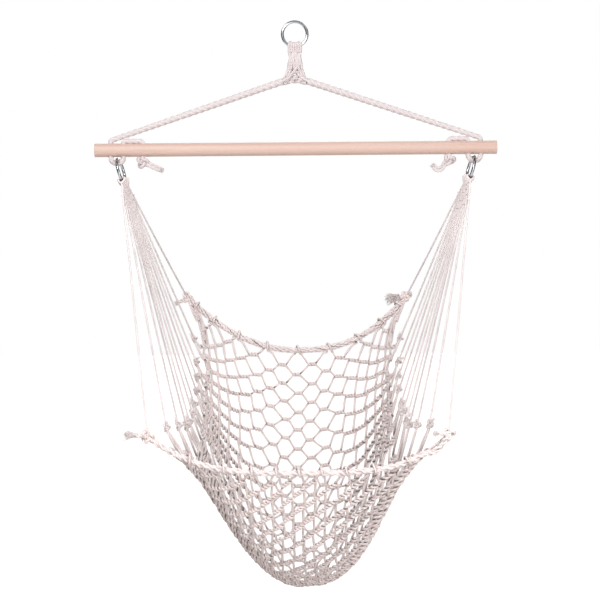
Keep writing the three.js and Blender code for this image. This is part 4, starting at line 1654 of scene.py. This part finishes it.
@dataclass
class SeatNet:
    """The knotted seat: every cord runs from bar to bar, two cords twist together in each bar."""

    lay: Lay = Lay(0.0064, 3, 0.0175, 3, 0.0022, 0.72)
    full_bar: float = 0.012
    bar_steps: int = 12
    bar_reach: float = 0.27
    chain_reach: float = 0.13
    front_turn: tuple = (0.8, 0.2)
    back_turn: tuple = (0.15, 0.3)
    bottom: float = 0.52
    bottom_reach: float = 0.10
    shades: tuple = (0.25, 0.42)
    stray: float = 0.07
    waves: tuple = ((1.3, 1.7, 0.61), (2.2, 0.83, -0.29))
    bar_offset: float = 0.46
    lashing: tuple = (0.44, 0.40)
    lashing_reach: float = 0.6
    lashing_gap: float = 0.04
    lashing_steps: int = 14
    known: dict = field(default_factory=dict)

    def knot(self, column: float, row: float) -> tuple[np.ndarray, np.ndarray]:
        """Finds a knot, and remembers it.

        Args:
            column: The column, which may be a fraction.
            row: The row, counted from the back edge, which may be a fraction.

        Returns:
            The knot's place, and the net's normal there.
        """
        key = (round(column, 3), round(row, 3))
        if key not in self.known:
            across, along = SHAPE.net_place(column, row)
            forward, sideways = SHAPE.slopes(across, along)
            self.known[key] = (SHAPE.point(across, along), unit(np.cross(forward, sideways)))
        return self.known[key]

    def ends(self, column: int, row: int) -> tuple[np.ndarray, np.ndarray, np.ndarray, np.ndarray]:
        """Finds a bar's two ends.

        Args:
            column: The bar's column.
            row: The bar's row.

        Returns:
            The left and the right end, the bar's way along the seat and the net's normal.
        """
        turn = self.chain_turn(column, row)
        reach = self.bar_reach + self.chain_reach * abs(turn)
        aside, down = self.strayed(column, row)
        left, normal = self.knot(column + aside - reach, row + down - turn * reach)
        right, _ = self.knot(column + aside + reach, row + down + turn * reach)
        across = unit(right - left)
        return left, right, unit(np.cross(across, normal)), normal

    def chain_turn(self, column: int, row: int) -> float:
        """Returns how far a bar turns into the chains that the hanging net draws.

        Args:
            column: The bar's column.
            row: The bar's row.

        Returns:
            The rows that the bar's right end lies further along for each column across. In the
            back panel the chains fall to both sides, and in the front panel all run one way.
        """
        sizes = SHAPE.sizes
        if row in (0, sizes.rows):
            return 0.0
        even = sizes.even(column)
        panel = min(max((self.bottom - row / sizes.rows) / self.bottom_reach, -1.0), 1.0)
        if panel < 0.0:
            least, more = self.front_turn
            return -panel * (least + more * abs(even))
        start, reach = self.back_turn
        return panel * math.copysign(min(max((abs(even) - start) / reach, 0.0), 1.0), even)

    def strayed(self, column: int, row: int) -> tuple[float, float]:
        """Works out how far a bar lies off its even place, as in hand-made nets.

        Args:
            column: The bar's column.
            row: The bar's row.

        Returns:
            How many columns and how many rows it lies off.
        """
        sizes = SHAPE.sizes
        if row in (0, sizes.rows):
            return 0.0, 0.0
        draw = random.Random(1009 * row + column)
        inner = self.stray * (1.0 - abs(sizes.even(column)) ** 3)
        aside, down = (inner * (draw.uniform(-1.0, 1.0) + swing * math.sin(a * column + b * row))
                       for swing, a, b in self.waves)
        return aside, down

    def twisted(self, column: int, row: int, entry: Corner) -> list[np.ndarray]:
        """Returns the places of one of a bar's two cords.

        Args:
            column: The bar's column.
            row: The bar's row.
            entry: The corner at which the cord comes in.

        Returns:
            The places in the order in which the cord passes them.
        """
        left, right, along, normal = self.ends(column, row)
        offset = self.lay.diameter * self.bar_offset
        half_turns = 3 if np.linalg.norm(right - left) > self.full_bar else 1
        phase = 0.0 if entry in (Corner.UP_LEFT, Corner.DOWN_RIGHT) else math.pi
        places = []
        for step in range(self.bar_steps + 1):
            share = step / self.bar_steps
            outward = around(-along, normal, phase + math.pi * half_turns * share)
            places.append(np.concatenate((mixed(left, right, share) + outward * offset, -outward)))
        return places if entry.value[0] < 0 else places[::-1]

    def lashed(self, column: int, row: int, entry: Corner) -> list[np.ndarray]:
        """Lays out an edge bar's cord, which goes once round the edge rope.

        Args:
            column: The bar's column.
            row: The bar's row.
            entry: The corner at which the cord comes in.

        Returns:
            The places in the order in which the cord passes them, each with its way inwards.
        """
        left, right, _, _ = self.ends(column, row)
        sizes = SHAPE.sizes
        rope = sizes.back_rope if row == 0 else sizes.front_rope
        edge = 0.0 if row == 0 else 1.0
        rope_share, cord_share = self.lashing
        radius = rope * rope_share + self.lay.diameter * cord_share
        reach = self.lashing_reach * sizes.twist_share
        start, stop = (SHAPE.point(SHAPE.net_place(column + step, row)[0], edge) for step in (-reach, reach))
        axis = unit(stop - start)
        toward = unit(mixed(left, right, 0.5) - mixed(start, stop, 0.5))
        toward = unit(toward - axis * toward.dot(axis))
        over = np.cross(axis, toward)
        places = [free(left)]
        for share in np.linspace(0.0, 1.0, self.lashing_steps + 1):
            outward = around(toward, over, math.tau * mixed(self.lashing_gap, 1.0 - self.lashing_gap, share))
            places.append(np.concatenate((mixed(start, stop, share) + outward * radius, -outward)))
        places.append(free(right))
        return places if entry.value[0] < 0 else places[::-1]

    def follow(self, column: int, row: int, entry: Corner, passed: set) -> list[np.ndarray]:
        """Follows one cord from a bar until it ends or comes back.

        Args:
            column: The first bar's column.
            row: The first bar's row.
            entry: The corner at which it comes in there.
            passed: The bars' corners that cords have gone through, which this adds to.

        Returns:
            The cord's places.
        """
        sizes = SHAPE.sizes
        places: list[np.ndarray] = []
        while (column, row, entry) not in passed:
            side, way = entry.value
            if row in (0, sizes.rows):
                leave = Corner((-side, way))
                places += self.lashed(column, row, entry)
            else:
                leave = Corner((-side, -way))
                places += self.twisted(column, row, entry)
            passed.update(((column, row, entry), (column, row, leave)))
            side, way = leave.value
            column, row = column + side, row + way
            if column in (0, sizes.columns):
                if row in (0, sizes.rows):
                    places.append(free(SHAPE.point(side, row / sizes.rows)))
                    break
                places.append(free(self.knot(column, row)[0]))
                column, row = column - side, row + way
                entry = Corner((side, -way))
            else:
                entry = Corner((-side, -way))
        return places

    def courses(self) -> list[np.ndarray]:
        """Follows every cord of the net from corner to corner.

        Returns:
            The places of each cord, each with its way to the neighbouring cord.
        """
        columns, rows = SHAPE.sizes.columns, SHAPE.sizes.rows
        passed: set = set()
        found = []
        for column, row, entry in (
            (1, 1, Corner.UP_LEFT), (columns - 1, 1, Corner.UP_RIGHT),
            (1, rows - 1, Corner.DOWN_LEFT), (columns - 1, rows - 1, Corner.DOWN_RIGHT),
        ):
            if (column, row, entry) not in passed:
                start = SHAPE.point(entry.value[0], 0.0 if row == 1 else 1.0)
                found.append(np.array([free(start), *self.follow(column, row, entry, passed)]))
        return found

    def build(self) -> None:
        """Builds each cord of the net as a piece of its own."""
        for number, course in enumerate(self.courses()):
            mesh = CordMesh(f"net_cords_{number + 1}")
            route = SmoothLine(course[:, :3], 12 * len(course)).spaced(self.lay.spacing)
            shade = self.shades[number % len(self.shades)]
            mesh.add(route, self.lay, shade, None, carried(course, route))
            piece = mesh.finish(COTTON)
            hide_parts("seat_net")
            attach(piece, Body.SEAT.value)


# Edge ropes


@dataclass
class EdgeRope:
    """An edge rope of loosely twisted strands, with a knot and a frayed end at each corner.

    Each of the two tails has its aim, its yarns' length, its width and how many yarns it has.
    """

    word: str
    along: float
    width: float
    pitch: float
    strands: int
    strand: Lay
    tails: tuple
    seed: int
    dip: float = 0.0
    hang: float = 0.0
    dip_place: float = 0.92
    dip_reach: float = 0.05
    wander: float = 0.25
    wander_rate: float = 23.0
    swell: float = 0.08
    swell_rate: float = 41.0
    end_reach: float = 0.02
    end_share: float = 0.35
    knot: Lay = Lay(0.0088, 2, 0.022, 5, 0.0016)
    knot_size: tuple = (0.024, 0.022)
    tail: Lay = Lay(0.0105, 3, 0.034, 5, 0.0016)
    tail_length: float = 0.024

    def route(self) -> np.ndarray:
        """Lays out the rope's middle line from the left corner to the right one.

        Returns:
            The places of the line, evenly spaced.
        """
        places = []
        for across in np.linspace(-1.0, 1.0, 41):
            dip = self.dip * math.exp(-((across - self.dip_place) / self.dip_reach) ** 2)
            sag = dip + self.hang * (1.0 - across**2)
            places.append(SHAPE.point(across, self.along) - UP * sag)
        return SmoothLine(places, 400).spaced(0.002)

    def strand_routes(self) -> list[tuple[np.ndarray, np.ndarray]]:
        """Lays out the strands, which wander a little.

        Returns:
            Each strand's places, and its ways to the rope's middle.
        """
        draw = random.Random(self.seed)
        route = self.route()
        lengths, across, over = frames_along(route)
        reach = (self.width - self.strand.diameter) / 2.0
        routes = []
        for number in range(self.strands):
            first, second = draw.uniform(0.0, 6.0), draw.uniform(0.0, 6.0)
            turn = math.tau * (lengths / self.pitch + number / self.strands)
            turn = turn + self.wander * np.sin(lengths * self.wander_rate + first)
            width = reach * (1.0 - self.swell + self.swell * np.sin(lengths * self.swell_rate + second))
            to_end = np.minimum(lengths, lengths[-1] - lengths)
            width = width * np.minimum(1.0, to_end / self.end_reach + self.end_share)
            outward = np.cos(turn)[:, None] * across + np.sin(turn)[:, None] * over
            routes.append((route + width[:, None] * outward, -outward))
        return routes

    def build(self) -> None:
        """Builds the rope, its knots and its frayed ends."""
        mesh = CordMesh(f"{self.word}_rope")
        for number, (route, inward) in enumerate(self.strand_routes()):
            mesh.add(route, self.strand, 0.35 + 0.4 * number / self.strands, None, inward)
        for side, (aim, reach, width, yarns) in zip((-1.0, 1.0), self.tails):
            centre = SHAPE.point(side, self.along)
            inward = SHAPE.point(side * 0.96, self.along) - centre
            add_knot(mesh, centre, inward, self.knot_size, self.knot, 0.45)
            end = centre + unit(np.array(aim)) * self.tail_length
            mesh.add(densified(np.array((centre, end)), self.tail.spacing), self.tail, 0.5)
            FRAY.add(mesh, end, aim, width=width, length=reach, count=yarns, seed=self.seed + int(side))
        rope = mesh.finish(ROPE_COTTON)
        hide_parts(f"{self.word}_edge_rope")
        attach(rope, Body.SEAT.value)


# Studio


@dataclass
class Studio:
    """The pale floor, the soft lights, the white surround and the camera of the photograph.

    Each card has its name, place and size, and each lamp its name, place, size and power in watts.
    """

    floor_height: float = -1.70
    floor_glow: float = 0.86
    distance: float = 3.5
    eye_height: float = -0.630
    lens: float = 93.75
    shift: tuple = (0.005, 0.0073)
    roll: float = math.radians(0.48)
    card_target: tuple = (0.0, 0.0, -0.6)
    lamp_target: tuple = (0.0, 0.0, -0.7)
    cards: tuple = (
        ("front", (0.4, -4.0, -0.9), (4.4, 2.6)), ("left", (-2.8, -0.2, -0.3), (4.2, 4.0)),
        ("right", (2.8, 0.1, -0.3), (4.2, 4.0)), ("top", (0.0, 0.2, 2.6), (3.4, 2.6)),
        ("behind", (-1.7, 3.2, -0.2), (2.4, 4.4)), ("aside", (1.9, 3.0, -0.2), (2.2, 4.4)),
    )
    lamps: tuple = (
        ("key", (-1.2, -2.5, 1.2), 1.1, 52.5), ("fill", (0.9, -2.5, -0.55), 1.4, 34.0),
        ("back", (0.4, 2.4, 1.0), 1.6, 18.0),
    )

    def build_floor(self) -> None:
        """Lays a wide pale floor that the camera sees as nearly white."""
        select_none()
        bpy.ops.mesh.primitive_plane_add(size=60.0, location=(0.0, 0.0, self.floor_height))
        floor = bpy.context.object
        floor.name = "floor"
        pale, graph = new_material("pale_floor")
        matt = graph.add("BsdfPrincipled", Base_Color=(0.6, 0.58, 0.56, 1.0), Roughness=0.9).outputs[0]
        glow = graph.add("Emission", Color=WHITE, Strength=self.floor_glow).outputs[0]
        both = graph.add("AddShader", in_0=matt, in_1=glow).outputs[0]
        seen = graph.any_ray("Is Camera Ray", "Is Glossy Ray")
        shown = graph.add("MixShader", in_0=seen, in_1=matt, in_2=both).outputs[0]
        graph.add("OutputMaterial", Surface=shown)
        floor.data.materials.append(pale)

    def build_world(self) -> None:
        """Makes a soft white surround, dimmer below, that the camera sees as white."""
        world = bpy.data.worlds.new("surround")
        bpy.context.scene.world = world
        world.use_nodes = True
        graph = Graph(world.node_tree)
        way = graph.add("SeparateXYZ", Vector=graph.add("TexCoord").outputs["Generated"]).outputs[2]
        level = graph.maths("MULTIPLY_ADD", way, 0.5, 0.5)
        soft = graph.ramp(level, ((0.35, (0.135, 0.128, 0.122, 1.0)), (0.8, (0.52, 0.52, 0.52, 1.0))))
        seen = graph.any_ray("Is Camera Ray", "Is Glossy Ray", "Is Transmission Ray")
        shell = graph.add("Background", Color=graph.mix(seen, soft, WHITE), Strength=1.0).outputs[0]
        graph.add("OutputWorld", Surface=shell)

    def build_cards(self) -> None:
        """Stands dark cards round the object, which only the steel reflects."""
        felt, graph = new_material("black_felt")
        matt = graph.add("BsdfDiffuse", Color=(0.01, 0.01, 0.01, 1.0)).outputs[0]
        graph.add("OutputMaterial", Surface=matt)
        for word, place, size in self.cards:
            select_none()
            bpy.ops.mesh.primitive_plane_add(size=1.0, location=place)
            card = bpy.context.object
            card.name = f"{word}_card"
            card.scale = (*size, 1.0)
            give_turn(card, (Vector(place) - Vector(self.card_target)).to_track_quat("Z", "Y"))
            card.visible_camera = card.visible_diffuse = False
            card.visible_transmission = card.visible_shadow = False
            card.data.materials.append(felt)

    def build_lights(self) -> None:
        """Hangs a large soft key light, a fill and a back light."""
        for name, place, size, power in self.lamps:
            light = bpy.data.lights.new(name, "AREA")
            light.size = size
            light.energy = power
            lamp = bpy.data.objects.new(name, light)
            lamp.location = place
            give_turn(lamp, rotation_to(-unit(np.array(self.lamp_target) - np.array(place))))
            bpy.context.scene.collection.objects.link(lamp)

    def build_camera(self) -> None:
        """Sets the camera where the photograph was taken from, level and slightly rolled."""
        lens = bpy.data.cameras.new("camera")
        lens.lens = self.lens
        lens.shift_x, lens.shift_y = self.shift
        camera = bpy.data.objects.new("camera", lens)
        camera.location = (0.0, -self.distance, self.eye_height)
        camera.rotation_euler = (math.pi / 2, self.roll, 0.0)
        bpy.context.scene.collection.objects.link(camera)
        bpy.context.scene.camera = camera

    def build(self) -> None:
        """Builds the whole studio."""
        bpy.context.scene.view_settings.view_transform = "Standard"
        self.build_camera()
        self.build_floor()
        self.build_world()
        self.build_cards()
        self.build_lights()


def make_chair() -> None:
    """Builds every visible piece of the chair, from the hook down."""
    rings = [SteelRing("hook_ring", SIZES.hook_ring_centre, BACK, Body.HOOK_RING, "hanging_ring", 2.6)]
    for side, body in ((Side.LEFT, Body.LEFT_RING), (Side.RIGHT, Body.RIGHT_RING)):
        place = SideRingFrame(side)
        rings.append(SteelRing(f"clew_ring_{side.word}", place.centre, place.axis, body,
                               f"side_ring_{side.word}", 0.9))
    pieces = [
        *rings, NeckPlait(), BridleRope(Side.LEFT), BridleRope(Side.RIGHT), SpreaderBar(),
        ClewFan(Side.LEFT), ClewFan(Side.RIGHT), SeatNet(),
        EdgeRope(
            word="back", along=0.0, width=SHAPE.sizes.back_rope, pitch=0.085, strands=5,
            strand=Lay(0.0072, 2, 0.020, 5, 0.002), seed=31,
            tails=(((-0.8, 0.5, -0.4), 0.018, 0.0095, 45), ((-1.0, -0.3, -0.15), 0.030, 0.022, 120)),
        ),
        EdgeRope(
            word="front", along=1.0, width=SHAPE.sizes.front_rope, pitch=0.070, strands=3,
            strand=Lay(0.0094, 2, 0.028, 6, 0.002), seed=47, dip=0.012, hang=0.0028,
            tails=(((-1.0, -0.2, 0.12), 0.026, 0.0115, 70), ((-0.9, -0.5, 0.1), 0.014, 0.0095, 50)),
        ),
    ]
    for piece in pieces:
        piece.build()


def main() -> None:
    """Builds the studio and the chair."""
    logging.basicConfig(level=logging.INFO, format="%(name)s: %(message)s")
    Studio().build()
    make_chair()


if __name__ == "__main__":
    main()
